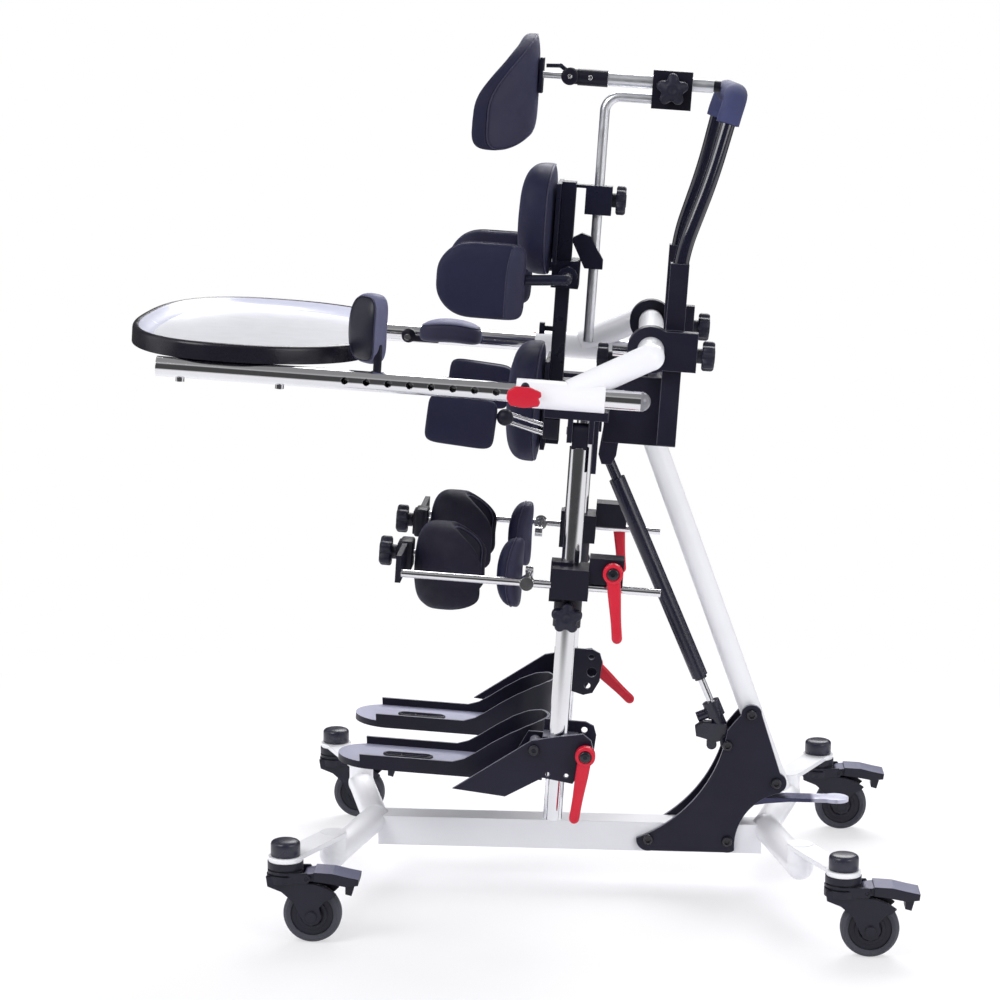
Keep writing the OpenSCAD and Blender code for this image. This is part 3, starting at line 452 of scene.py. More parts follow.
hubGrey = coatFinish("hubGrey", {
    "colour": (0.026, 0.024, 0.034), "fade": 0.8, "rough": 0.45, "peel": 900, "edge": 0.001, "shine": 0.35})
plugGrey = coatFinish("plugGrey", {
    "colour": (0.20, 0.20, 0.22), "fade": 0.8, "rough": 0.22, "peel": 600, "edge": 0.0, "coat": 0.3})
gripFoam = coatFinish("gripFoam", {
    "colour": (0.042, 0.050, 0.150), "fade": 0.7, "rough": 0.72, "peel": 620, "edge": 0.0, "depth": 0.5})
springBlack = coatFinish("springBlack", {
    "colour": (0.0095, 0.0095, 0.027), "fade": 0.8, "rough": 0.26, "peel": 500, "edge": 0.001, "coat": 0.15})
# painted highlight: glare on the sole's upward faces, drawn as a pale grey on the black plastic
soleTopSheen = coatFinish("soleTopSheen", {
    "colour": (0.36, 0.36, 0.49), "fade": 0.82, "rough": 0.42, "peel": 380, "edge": 0.0, "depth": 0.5})
padShell = coatFinish("padShell", {
    "colour": (0.010, 0.010, 0.022), "fade": 0.8, "rough": 0.40, "peel": 900, "edge": 0.0, "shine": 0.35})
brightChrome = steelFinish("brightChrome", {
    "colour": (0.80, 0.80, 0.83), "rough": 0.10, "draw": (1, 30, 30), "mark": 0.04})
legChrome = steelFinish("legChrome", {
    "colour": (0.78, 0.78, 0.815), "rough": 0.10, "draw": (30, 30, 1), "mark": 0.04})
satinSteel = steelFinish("satinSteel", {
    "colour": (0.86, 0.87, 0.92), "rough": 0.40, "draw": (1, 1, 1), "mark": 0.05})
# the arm colour is a painted dark reflection on the steel arm
pedalSteel = pedalFinish("pedalSteel", {
    "colour": (0.56, 0.56, 0.68), "rough": 0.34, "draw": (1, 24, 24), "mark": 0.2,
    "arm": (0.075, 0.075, 0.135), "padAt": 0.331, "blur": 0.004})
navyCover = coverFinish("navyCover", {
    "colour": (0.0092, 0.0096, 0.0390), "rough": 0.62, "loops": 260, "weave": 0.35, "sheen": 0.10})
# painted shade: a darker copy of the navy cover for the knee cups, which stand in shadow
kneeCoverShaded = coverFinish("kneeCoverShaded", {
    "colour": (0.0058, 0.0048, 0.0190), "rough": 0.66, "loops": 260, "weave": 0.35, "sheen": 0.07})
slateCover = coverFinish("slateCover", {
    "colour": (0.026, 0.0258, 0.060), "rough": 0.58, "loops": 260, "weave": 0.35, "sheen": 0.13})
# painted light: a paler copy of the cover for the elbow pads' cushion faces, lit from behind
litCover = coverFinish("litCover", {
    "colour": (0.125, 0.127, 0.215), "rough": 0.58, "loops": 260, "weave": 0.3, "sheen": 0.2})
piping = coverFinish("piping", {
    "colour": (0.036, 0.036, 0.072), "rough": 0.5, "loops": 420, "weave": 0.3, "sheen": 0.2})
print("finishes made")


# dressing of the carried-over solids: where one finish ends, in millimetres or as a slope of the face

border = {"edgeSide": 0.3, "edgeRise": 0.1, "litTopRise": 0.6, "legTop": -30.5, "rodPlate": -292, "soleRise": 0.35,
          "soleTop": -470, "tyre": 27.4, "hub": 15, "springHead": 60.5, "tubeRear": -12, "tubeFront": -609.5,
          "barSleeve": -78.5, "barEnd": 60.2, "stemLever": 441, "stemPlate": -163.5}


def dress(name, finishes, pick=None):
    node = nodes[name]
    node.data.materials.clear()
    for finish in finishes:
        node.data.materials.append(finish)
    for face in node.data.polygons:
        face.material_index = pick(face.center, face.normal) if pick else 0


def local(point):
    return fromSupport @ point / mm


# upward edge faces take the painted highlight
def plateHighlightPick(c, n):
    return 1 if abs(n.y) < border["edgeSide"] and n.z > border["edgeRise"] else 0


def soleHighlightPick(c, n):
    # painted highlight: the sole's upper face and the top edges of the walls are drawn paler for the light they catch
    if n.z < border["soleRise"]:
        return 0
    return 1 if local(c).z < border["soleTop"] else 2


def wheelFinish(axle):
    def pick(c, n):
        out = math.hypot(c.x - axle.x, c.z - axle.z) / mm
        return 0 if out > border["tyre"] else (2 if out < border["hub"] else 1)
    return pick


def tubeFinish(c, n):
    u = local(c).x
    return 2 if u > border["tubeRear"] else (1 if u < border["tubeFront"] else 0)


def barFinish(c, n):
    u = local(c).x
    return 1 if u < border["barSleeve"] or u > border["barEnd"] else 0


def stemFinish(c, n):
    spot = local(c)
    return 1 if spot.z > border["stemLever"] or spot.x < border["stemPlate"] else 0


def springFinish(c, n):
    return 1 if (c - jointAt["gas_spring_swing"]).dot(springAxis) > border["springHead"] * mm else 0


for finish, names in (
    (whiteCoat, ("base_frame", "mast", "tray_arms")),
    (plateCoat, ("carrier",)),
    (blackCoat, ("back_post", "chest_bracket")),
    (mouldedBlack, ("knee_clamp_left", "knee_clamp_right", "head_clamp")),
    (springBlack, ("gas_spring_body",)),
    (pedalSteel, ("release_pedal",)),
    (satinSteel, ("head_post",)),
):
    for name in names:
        dress(name, [finish])
for name in ("side_plates", "foot_bracket_left", "foot_bracket_right"):
    dress(name, [plateCoat, plateTopHighlight], plateHighlightPick)
for _, low, _ in bothSides:
    dress("leg_tube_" + low, [legChrome, mouldedBlack], lambda c, n: 1 if local(c).z > border["legTop"] else 0)
    dress("knee_rod_" + low, [brightChrome, mouldedBlack], lambda c, n: 1 if local(c).x < border["rodPlate"] else 0)
    dress("sandal_" + low, [mouldedBlack, soleTopSheen, plateTopHighlight], soleHighlightPick)
    for end in ("front", "rear"):
        corner = end + "_" + low
        dress("castor_fork_" + corner, [castorBlack])
        # upward faces of the pedal get the painted highlight
        dress("castor_pedal_" + corner, [castorBlack, castorTopSheen], lambda c, n: 1 if n.z > border["litTopRise"] else 0)
        dress("castor_wheel_" + corner, [tyreGrey, castorBlack, hubGrey],
              wheelFinish(jointAt["castor_roll_" + corner]))
springAxis = Vector(next(j for j in frame["joints"] if j["name"] == "gas_spring_stroke")["axis"])
dress("gas_spring_rod", [springBlack, brightChrome], springFinish)
dress("tray_tubes", [brightChrome, mouldedBlack, plugGrey], tubeFinish)
dress("head_bar", [satinSteel, mouldedBlack], barFinish)
dress("headrest_stem", [satinSteel, blackCoat], stemFinish)
print("solids dressed")


# shared shape helpers; sizes in millimetres

mergeReach = 0.00001  # metres
bevelSteps = 3
arcSteps = 10
arcShare = 0.48  # a rounded corner takes at most this much of a straight


def finishPiece(bm, name, body, finishes, place=None, angle=None, merge=True):
    if merge:
        bmesh.ops.remove_doubles(bm, verts=bm.verts, dist=mergeReach)
    if place is not None:
        bmesh.ops.transform(bm, matrix=place, verts=bm.verts)
    bmesh.ops.recalc_face_normals(bm, faces=bm.faces)
    for face in bm.faces:
        face.smooth = True
    mesh = bpy.data.meshes.new(name)
    bm.to_mesh(mesh)
    bm.free()
    for finish in finishes:
        mesh.materials.append(finish)
    piece = bpy.data.objects.new(name, mesh)
    bpy.context.scene.collection.objects.link(piece)
    if angle:
        mesh.set_sharp_from_angle(angle=math.radians(angle))
    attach(piece, body)
    return piece


def vertsOf(geom):
    return [g for g in geom if isinstance(g, bmesh.types.BMVert)]


def ringForm(sections, segments=40):
    # a ring extruded from section to section; each is a height and a radius, or a radius by angle
    bm = bmesh.new()
    current = bmesh.ops.create_circle(bm, segments=segments, radius=1.0)["verts"]
    angles = {v: math.atan2(v.co.y, v.co.x) for v in current}
    ring = list(bm.edges)

    def placeKey(v):
        return tuple(round(c, 7) for c in v.co)

    def setRing(height, radius):
        for v in current:
            a = angles[v]
            r = (radius(a) if callable(radius) else radius) * mm
            v.co = (r * math.cos(a), r * math.sin(a), height * mm)

    setRing(*sections[0])
    bmesh.ops.edgeloop_fill(bm, edges=ring)
    for section in sections[1:]:
        angleAt = {placeKey(v): angles[v] for v in current}
        made = bmesh.ops.extrude_edge_only(bm, edges=ring)["geom"]
        current = vertsOf(made)
        fresh = set(current)
        ring = [g for g in made if isinstance(g, bmesh.types.BMEdge) and all(v in fresh for v in g.verts)]
        for v in current:
            angles[v] = angleAt[placeKey(v)]
        setRing(*section)
    bmesh.ops.edgeloop_fill(bm, edges=ring)
    return bm


def sweepInto(bm, points, radius, closed=False, index=0, sides=8, endRound=()):
    # a round bar along the points, in metres, merged into the piece; endRound thins its first and last points
    data = bpy.data.curves.new("sweepPath", "CURVE")
    data.dimensions = "3D"
    line = data.splines.new("POLY")
    line.points.add(len(points) - 1)
    for spot, p in zip(line.points, points):
        spot.co = (*p, 1)
    for k, thin in enumerate(endRound):
        line.points[k].radius = line.points[-1 - k].radius = thin
    line.use_cyclic_u = closed
    data.bevel_depth = radius * mm
    data.bevel_resolution = max(0, sides // 4 - 1)
    data.use_fill_caps = not closed
    helper = bpy.data.objects.new("sweepPath", data)
    bpy.context.scene.collection.objects.link(helper)
    bpy.context.view_layer.update()
    mesh = bpy.data.meshes.new_from_object(helper.evaluated_get(bpy.context.evaluated_depsgraph_get()))
    before = len(bm.faces)
    bm.from_mesh(mesh)
    bm.faces.ensure_lookup_table()
    for face in bm.faces[before:]:
        face.material_index = index
    bpy.data.objects.remove(helper)
    bpy.data.curves.remove(data)
    bpy.data.meshes.remove(mesh)


def roundedPath(points, radius):
    # inner corners of a path, in metres, replaced by arcs
    path = [Vector(points[0])]
    for last, corner, following in zip(points, points[1:], points[2:]):
        p = Vector(corner)
        before = Vector(last) - p
        after = Vector(following) - p
        cut = min(radius * mm, before.length * arcShare, after.length * arcShare)
        a = p + before.normalized() * cut
        b = p + after.normalized() * cut
        for s in range(arcSteps + 1):
            t = s / arcSteps
            path.append(a * (1 - t) ** 2 + p * 2 * t * (1 - t) + b * t ** 2)
    return path + [Vector(points[-1])]


def bevelAll(bm, bevel):
    bmesh.ops.bevel(bm, geom=list(bm.edges), offset=bevel * mm, segments=bevelSteps, profile=0.5,
                    affect="EDGES", material=-1)
    return bm


def blockForm(size, bevel):
    bm = bmesh.new()
    bmesh.ops.create_cube(bm, size=1.0)
    bmesh.ops.scale(bm, vec=Vector(size) * mm, verts=bm.verts)
    return bevelAll(bm, bevel)


def slabForm(outline, thick, bevel):
    # flat outline in x and z, drawn out along y
    bm = bmesh.new()
    face = bm.faces.new([bm.verts.new((x * mm, 0, z * mm)) for x, z in outline])
    made = bmesh.ops.extrude_face_region(bm, geom=[face])["geom"]
    bmesh.ops.translate(bm, vec=(0, thick * mm, 0), verts=vertsOf(made))
    bmesh.ops.recalc_face_normals(bm, faces=bm.faces)
    return bevelAll(bm, bevel)


def mergeInto(bm, part, place=None, index=0):
    if place is not None:
        bmesh.ops.transform(part, matrix=place, verts=part.verts)
    for face in part.faces:
        face.material_index = index
    mesh = bpy.data.meshes.new("mergedPart")
    part.to_mesh(mesh)
    part.free()
    bm.from_mesh(mesh)
    bpy.data.meshes.remove(mesh)


def signedPow(value, power):
    return math.copysign(abs(value) ** power, value)


# cushions: a sphere is drawn out into a crowned pad with drawn-in edges, then gets its seams

padBase = {"wrapY": 0, "wrapZ": 0, "taper": 0, "sag": 0, "bow": 2, "hang": 2, "nose": 0, "heel": 0, "brow": 0,
           "cuff": None, "split": -90, "pull": 1.6, "pipe": 1.2, "fill": 0.8}
# a seam's reach is in degrees of the sphere
sewing = {"spokes": 96, "rings": 64, "foam": 0.5, "foamScale": 34, "seamReach": 9, "cuffReach": 6, "cuffPull": 1.3,
          "cuffRise": 45, "cuffHalf": 44, "cuffStep": 2, "clear": 60, "pipePoints": 132}


def padPoint(pad, sinA, cosB, sinB):
    cosA = math.sqrt(max(0.0, 1 - sinA * sinA))
    r = cosA ** pad["edge"]
    corner = pad["corner"] if cosB * pad["heel"] <= 0 else pad["heelCorner"]
    y = r * signedPow(cosB, corner)
    z = r * signedPow(sinB, corner)
    depth = signedPow(sinA, pad["edge"])
    front, back, width, height = pad["size"]
    x = -(front if depth > 0 else back) * depth * (1 - pad["brow"] * max(0.0, z) ** 2)
    x += pad["wrapY"] * abs(y) ** pad["bow"] + pad["wrapZ"] * z * z
    tall = z * (1 - pad["taper"] * y * y - max(0.0, pad["nose"] * y) ** 3) * height / 2
    tall -= pad["sag"] * abs(y) ** pad["hang"]
    return Vector((x, y * width / 2, tall)) * mm


def cuffAt(cuff, z):
    # the curved seam of a cuff, across the pad
    return cuff["at"] + cuff["curve"] * max(0.0, z / sewing["cuffRise"]) ** 2


def pastCuff(cuff, point):
    return point.y / mm * cuff["side"] - cuffAt(cuff, point.z / mm)


def seamPull(away, reach, pull):
    share = abs(away) / reach
    return pull * mm * (1 - share) ** 2 if share < 1 else 0.0


def padForm(pad):
    bm = bmesh.new()
    bmesh.ops.create_uvsphere(bm, u_segments=sewing["spokes"], v_segments=sewing["rings"], radius=1.0)
    bmesh.ops.rotate(bm, cent=(0, 0, 0), matrix=Matrix.Rotation(math.radians(-90), 3, "Y"), verts=bm.verts)
    depthOf = {}
    for v in bm.verts:
        sinA = max(-1.0, min(1.0, -v.co.x))
        flat = math.hypot(v.co.y, v.co.z)
        cosB, sinB = (v.co.y / flat, v.co.z / flat) if flat > 1e-6 else (1, 0)
        depthOf[v] = math.degrees(math.asin(sinA))
        v.co = padPoint(pad, sinA, cosB, sinB)
    bm.normal_update()
    # drawn-in seams and the slight unevenness of foam under a cover
    cuff = pad["cuff"]
    for v in list(bm.verts):
        push = sewing["foam"] * mm * noise.noise(v.co * sewing["foamScale"] + Vector((pad["seed"], 0, 0)))
        for seam in pad["seams"]:
            push -= seamPull(depthOf[v] - seam, sewing["seamReach"], pad["pull"])
        if cuff:
            push -= seamPull(pastCuff(cuff, v.co), sewing["cuffReach"], sewing["cuffPull"])
        v.co += v.normal * push
    for face in bm.faces:
        middle = sum(depthOf[v] for v in face.verts) / len(face.verts)
        behind = cuff and pastCuff(cuff, face.calc_center_median()) > 0
        face.material_index = 1 if middle < pad["split"] or behind else 0
    lines = []
    turns = [2 * math.pi * k / sewing["pipePoints"] for k in range(sewing["pipePoints"])]
    for seam in pad["seams"]:
        s = math.sin(math.radians(seam))
        lines.append(([padPoint(pad, s, math.cos(b), math.sin(b)) for b in turns], True))
    if cuff:
        skin = BVHTree.FromBMesh(bm)
        half, clear = sewing["cuffHalf"], sewing["clear"]
        for way in (-1, 1):
            drop = []
            for z in range(-half, half + 1, sewing["cuffStep"]):
                start = Vector((-way * clear, cuff["side"] * cuffAt(cuff, z), z)) * mm
                hit = skin.ray_cast(start, Vector((way, 0, 0)))[0]
                if hit:
                    drop.append(hit)
            lines.append((drop, False))
    for line, closed in lines:
        sweepInto(bm, line, pad["pipe"], closed, 2)
    return bm


def makePad(name, own, place, body, node, covers):
    pad = {**padBase, **own}
    piece = finishPiece(padForm(pad), name, body, covers, place, merge=False)
    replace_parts(piece, node)


# front, behind and piping of each cover
twoTone = [navyCover, slateCover, piping]
oneTone = [navyCover, navyCover, piping]
# the knee cups wear the painted-shade cover
kneeShadeTone = [kneeCoverShaded, kneeCoverShaded, piping]
chestPad = {"at": (-144, 0, 246), "size": (38, 9.2, 176, 146), "edge": 0.62, "corner": 0.72, "wrapY": -6,
            "seams": [-16], "seed": 1}
pelvisPad = {"at": (-143, 0, 2), "size": (38, 9.2, 196, 158), "edge": 0.62, "corner": 0.75, "wrapY": -4,
             "seams": [-16], "seed": 2}
lateralPad = {"at": (-222.5, 111, 168), "size": (20, 16, 114, 98), "edge": 0.55, "corner": 0.56, "heelCorner": 0.26,
              "wrapY": 3, "seams": [2], "pull": 1.0, "pipe": 0.8, "seed": 3}
lateralNose = 0.70
lateralCuff = {"at": 33, "curve": 6}
hipPad = {"at": (-231, 189, -6), "pitch": 4, "size": (13, 11, 88, 62), "edge": 0.34, "corner": 0.3, "seams": [-4],
          "pull": 0.8, "pipe": 0.7, "seed": 4}
kneeCup = {"at": (-253, 125, -206), "size": (31, 18, 116, 116), "edge": 0.52, "corner": 0.42, "wrapY": 52, "wrapZ": 6,
           "taper": 0.4, "sag": 10, "seams": [-40], "pull": 1.4, "pipe": 1.0, "seed": 5}
kneeRear = {"at": (-152, 143, -206), "size": (22, 11, 58, 90), "edge": 0.74, "corner": 0.70, "wrapY": -4, "wrapZ": 5,
            "seams": [8], "split": 8, "pull": 1.0, "pipe": 0.9, "seed": 6}
headPad = {"at": (-180, 0, 423.5), "size": (26, 11, 190, 126), "edge": 0.46, "brow": 0.35, "corner": 0.5,
           "wrapY": -56, "wrapZ": 1, "taper": 0.15, "sag": 56, "bow": 2.5, "hang": 1.75, "seams": [-14],
           "split": -14, "pull": 1.8, "pipe": 1.0, "seed": 7}
elbowPad = {"at": (61, 237, 13), "size": (16, 16, 52, 88), "edge": 0.6, "corner": 0.62, "wrapZ": 6, "seams": [30],
            "split": 30, "pull": 1.0, "pipe": 0.8, "seed": 8}
# elbow pads stand up on the left and lie down on the right; their cushion faces take the painted-light cover
elbowFold = {"left": {"turn": -90, "swing": 46, "covers": [padShell, litCover, piping]},
             "right": {"turn": 0, "swing": 0, "covers": [litCover, slateCover, piping]}}
elbowArm = {"at": (-340, 0, 48), "out": 251, "hub": [(0, 8.5), (1, 10), (9, 10), (10, 8.8), (10, 5.2), (8.6, 5.0)],
            "hubHalf": 5, "bar": (44, 9.6, 10), "bevel": 2.4, "barAt": (22, -3)}

makePad("chestPad", chestPad, at(*chestPad["at"]), "chest", "chest_pad", oneTone)
makePad("pelvisPad", pelvisPad, at(*pelvisPad["at"]), "support", "pelvis_pad", oneTone)
makePad("headPad", headPad, at(*headPad["at"]), "headrest", "headrest_pad", twoTone)
for side, low, s in bothSides:
    winged = dict(lateralPad, nose=s * lateralNose, heel=-s, cuff=dict(lateralCuff, side=-s))
    makePad("lateralPad" + side, winged, sideAt(s, lateralPad["at"], ("Z", s * 90)), "chest", "lateral_pads", twoTone)
    makePad("hipPad" + side, hipPad, sideAt(s, hipPad["at"], ("Y", hipPad["pitch"]), ("Z", s * 90)), "support",
            "hip_pads", oneTone)
    makePad("kneeCup" + side, kneeCup, sideAt(s, kneeCup["at"]), "knee_pad_" + low, "knee_pads_" + low, kneeShadeTone)
    makePad("kneeRear" + side, kneeRear, sideAt(s, kneeRear["at"]), "knee_pad_" + low, "knee_pads_" + low, twoTone)
    pose = elbowFold[low]
    fold = at(*elbowArm["at"], ("Y", pose["turn"]))
    u, y, w = elbowPad["at"]
    lift = shift(u, s * y, w) @ turned("X", pose["swing"]) @ turned("Y", 90)
    makePad("elbowPad" + side, elbowPad, fold @ lift, "elbow_" + low, "elbow_pad_" + low, pose["covers"])
    bm = ringForm(elbowArm["hub"])
    hubAt = Matrix.Translation((0, s * elbowArm["out"] * mm - elbowArm["hubHalf"] * mm, 0))
    bmesh.ops.transform(bm, matrix=hubAt @ turned("X", -90), verts=bm.verts)
    u, w = elbowArm["barAt"]
    mergeInto(bm, blockForm(elbowArm["bar"], elbowArm["bevel"]), shift(u, s * elbowArm["out"], w))
    piece = finishPiece(bm, "elbowArm" + side, "elbow_" + low, [mouldedBlack], fold, angle=35)
    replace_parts(piece, "elbow_pad_" + low)
print("cushions made")


# star knobs with five moulded lobes; the shares are of the diameter

knobLook = {"firstLobe": 90, "lobeStep": 72, "core": 0.34, "lobe": 0.16, "neck": 0.23, "blur": 2.2, "blurs": 3}


def lobeReach(d, extra):
    first, step = math.radians(knobLook["firstLobe"]), math.radians(knobLook["lobeStep"])
    core, lobe = knobLook["core"] * d, knobLook["lobe"] * d + extra
    around = range(-knobLook["blurs"], knobLook["blurs"] + 1)

    def plain(a):
        near = (a - first) % step
        near = min(near, step - near)
        rest = lobe ** 2 - (core * math.sin(near)) ** 2
        return max(core + extra, core * math.cos(near) + math.sqrt(rest) if rest > 0 else 0)
    return lambda a: sum(plain(a + math.radians(k * knobLook["blur"])) for k in around) / len(around)


def knobForm(d, h, extra=0.5):
    reach = lobeReach(d, extra)
    neck = knobLook["neck"] * d + 0.3

    def drawn(inset):
        return lambda a: max(reach(a) - inset, knobLook["core"] * d + 0.2)
    return ringForm([
        (0, neck), (0.3 * h - 0.2, neck), (0.3 * h - 0.1, drawn(3)), (0.34 * h, drawn(1.1)), (0.41 * h, drawn(0)),
        (0.84 * h, drawn(0)), (0.92 * h, drawn(0.6)), (0.97 * h, drawn(1.5)), (h + 0.2, drawn(3)),
        (h + 0.2, 0.22 * d), (h + 0.8, 0.2 * d), (h + 0.8, 0.1 * d), (h + 0.5, 0.09 * d),
    ], 90)


def makeKnob(name, bm, place, body):
    return finishPiece(bm, name, body, [knobBlack], place, angle=40)


# diameter, height, place and turn
supportKnobs = {"Front": (40, 20, (-46, 0, 67), -90), "Left": (40, 22, (62.15, -177, 98), 90),
                "Right": (40, 22, (62.15, 177, 98), 90), "Post": (40, 18, (-61.85, 0, 276), 90)}
frontScrew = [(-50, 3), (1, 3)]
headKnob = {"size": (42, 20), "at": (6, -15, 426)}
legKnob = {"size": (40, 22), "at": (-78, 206, -245)}
kneeKnob = {"size": (40, 22), "at": (-308, 122, -195)}
# block that carries the cup on its cross plate
cupBlock = {"at": (-295, 122, -196), "size": (18, 40, 39), "bevel": 3.5, "face": (6, 34, 33), "faceBevel": 1.5,
            "faceAt": (-8.5, 0, 0)}

for name, (d, h, spot, turn) in supportKnobs.items():
    bm = knobForm(d, h, 0)
    if name == "Front":
        mergeInto(bm, ringForm(frontScrew, 24))
    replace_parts(makeKnob("supportKnob" + name, bm, at(*spot, ("Y", turn)), "support"), "star_knobs")
makeKnob("headKnob", knobForm(*headKnob["size"]), at(*headKnob["at"], ("X", 90)), "head")
for side, low, s in bothSides:
    makeKnob("legKnob" + side, knobForm(*legKnob["size"]), sideAt(s, legKnob["at"], outward(s)), "knee_" + low)
    makeKnob("kneeKnob" + side, knobForm(*kneeKnob["size"]), sideAt(s, kneeKnob["at"], ("Y", -90)), "knee_pad_" + low)
    bm = blockForm(cupBlock["size"], cupBlock["bevel"])
    mergeInto(bm, blockForm(cupBlock["face"], cupBlock["faceBevel"]), shift(*cupBlock["faceAt"]))
    finishPiece(bm, "cupBlock" + side, "knee_pad_" + low, [mouldedBlack],
                sideAt(s, cupBlock["at"]), angle=35)
print("knobs made")


# bolts with a hexagon socket

def boltForm(radius, height, flats):
    def socket(a):
        return flats / 2 / math.cos(a % (math.pi / 3) - math.pi / 6)
    return ringForm([(0, radius), (0.45 * height, radius), (0.8 * height, 0.94 * radius), (height, 0.8 * radius),
                     (height, socket), (0.35 * height, socket)], 48)


# a head is a radius, a height and the flats of its socket
plateBolts = {"head": (7.4, 5.6, 7), "under": 26.3, "shank": [(-27, 4), (27, 4)],
              "places": [(108, 68), (215, 68), (280, 151), (244.5, 245), (213, 202)]}
ankleBolt = {"head": (7.5, 5.4, 6), "at": (-108, 212.2, -424)}
headJoint = {"height": 434, "screw": (3.4, 2.2, 2.6), "screws": [(-102, 10.6), (-129, 13.4)], "cheekAt": -129,
             "cheek": [(10.4, 11.4), (12.2, 11.4), (13.2, 10.6), (13.5, 9.4)]}

bm = bmesh.new()
for x, z in plateBolts["places"]:
    for s in (-1, 1):
        mergeInto(bm, boltForm(*plateBolts["head"]),
                  ground @ shift(x, s * plateBolts["under"], z) @ turned(*outward(s)))
    mergeInto(bm, ringForm(plateBolts["shank"], 28), ground @ shift(x, 0, z) @ turned("X", 90))
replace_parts(finishPiece(bm, "plateBolts", "base", [boltBlack], angle=35), "plate_bolts")

for side, low, s in bothSides:
    finishPiece(boltForm(*ankleBolt["head"]), "ankleBolt" + side, "shoe_" + low, [boltBlack],
                sideAt(s, ankleBolt["at"], outward(s)), angle=35)
bm = bmesh.new()
for u, out in headJoint["screws"]:
    for s in (-1, 1):
        mergeInto(bm, boltForm(*headJoint["screw"]), at(u, s * out, headJoint["height"], outward(s)))
finishPiece(bm, "headScrews", "head_rail", [brightChrome], angle=35)
bm = bmesh.new()
for s in (-1, 1):
    mergeInto(bm, ringForm(headJoint["cheek"], 44), at(headJoint["cheekAt"], 0, headJoint["height"], outward(s)))
finishPiece(bm, "headCheeks", "head_rail", [mouldedBlack], angle=40)
print("bolts made")


# red clamp levers and tray pins

leverForm = {"deep": 14, "wide": 8.6, "narrows": 1.8, "wave": 0.5, "side": 1.1, "thins": 0.8, "steps": 12,
             "tip": 7, "tipWide": 6.8, "tipSide": 1.9, "tipSteps": 7, "tipTurn": 12.4, "tipSquare": 2.6,
             "screw": (7.6, 3.2, 5), "screwIn": 1.6}
leverLength = 84
kneeLever = {"at": (-23, -180), "way": (0.13, -0.99), "inner": 229}
footLever = {"at": (-41, -424), "way": (-0.1, -0.995), "inner": 215}
# the far foot bracket stands higher and its lever points back
farFoot = {"rise": 20, "way": (0.76, -0.65), "shorter": 12}


def flatRing(wide, thick, power=3.4):
    def reach(a):
        return (abs(math.cos(a) / wide) ** power + abs(math.sin(a) / thick) ** power) ** (-1 / power)
    return reach


def makeLever(name, pivot, way, length, s, inner, body, node):
    form = leverForm
    deep = form["deep"]
    tip = (pivot[0] + way[0] * length, pivot[1] + way[1] * length)
    along = Vector((tip[0] - pivot[0], 0, tip[1] - pivot[1]))
    reach = along.length
    along.normalize()
    out = Vector((0, s, 0))
    across = out.cross(along)
    place = at(pivot[0], s * inner, pivot[1]) @ Matrix((across, out, along)).transposed().to_4x4()
    # the arm narrows from the hub and ends in a round tip
    arm = []
    for k in range(form["steps"] + 1):
        f = k / form["steps"]
        wide = form["wide"] - form["narrows"] * f + form["wave"] * math.sin(f * math.pi * 2)
        arm.append((f * reach, flatRing(wide, deep / 2 - form["side"] - form["thins"] * f)))
    for k in range(1, form["tipSteps"] + 1):
        turn = math.radians(k * form["tipTurn"])
        thick = (deep / 2 - form["tipSide"]) * math.cos(turn) ** 0.5
        arm.append((reach + form["tip"] * math.sin(turn),
                    flatRing(form["tipWide"] * math.cos(turn), thick, form["tipSquare"])))
    bm = ringForm(arm)
    bmesh.ops.translate(bm, vec=(0, deep / 2 * mm, 0), verts=bm.verts)
    hub = ringForm([(0, 11.6), (1.2, 13), (deep - 1.6, 13), (deep - 0.5, 12.3), (deep, 11), (deep, 8.8),
                    (deep - 2, 8.4)], 56)
    mergeInto(bm, hub, turned("X", -90))
    screwAt = Matrix.Translation((0, (deep - form["screwIn"]) * mm, 0))
    mergeInto(bm, boltForm(*form["screw"]), screwAt @ turned("X", -90), 1)
    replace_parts(finishPiece(bm, name, body, [leverRed, boltBlack], place, angle=38), node)


for side, low, s in bothSides:
    makeLever("kneeLever" + side, kneeLever["at"], kneeLever["way"], leverLength, s, kneeLever["inner"],
              "knee_handle_" + low, "knee_lever_" + low)
    pivot, way, length = footLever["at"], footLever["way"], leverLength
    if s > 0:
        pivot, way, length = (pivot[0], pivot[1] + farFoot["rise"]), farFoot["way"], leverLength - farFoot["shorter"]
    makeLever("footLever" + side, pivot, way, length, s, footLever["inner"], "foot_handle_" + low, "foot_lever_" + low)

trayPin = {"at": (-148, 0, 48), "thick": 7, "bevel": 1.8, "capAt": 311, "knob": (34, 9), "knobAt": 304.4,
           "shank": [(293, 4), (312, 4)],
           "cap": [(-22, -4), (-21, 6), (-12, 12), (6, 12), (20, 7), (21, 1), (17, -1), (20, -6), (18, -11), (0, -14),
                   (-17, -12)]}
for side, low, s in bothSides:
    bm = slabForm(trayPin["cap"], s * trayPin["thick"], trayPin["bevel"])
    bmesh.ops.translate(bm, vec=(0, s * trayPin["capAt"] * mm, 0), verts=bm.verts)
    knobAt = Matrix.Translation((0, s * trayPin["knobAt"] * mm, 0))
    mergeInto(bm, knobForm(*trayPin["knob"], 0), knobAt @ turned(*outward(s)), 1)
    mergeInto(bm, ringForm(trayPin["shank"], 28), turned(*outward(s)), 1)
    piece = finishPiece(bm, "trayPin" + side, "pin_" + low, [leverRed, knobBlack],
                        at(*trayPin["at"]), angle=38)
    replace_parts(piece, "tray_pin_" + low)
print("levers made")


# tray: its front edge is bowed; the rim's section grows inward from the outline, over the lip and down the slope

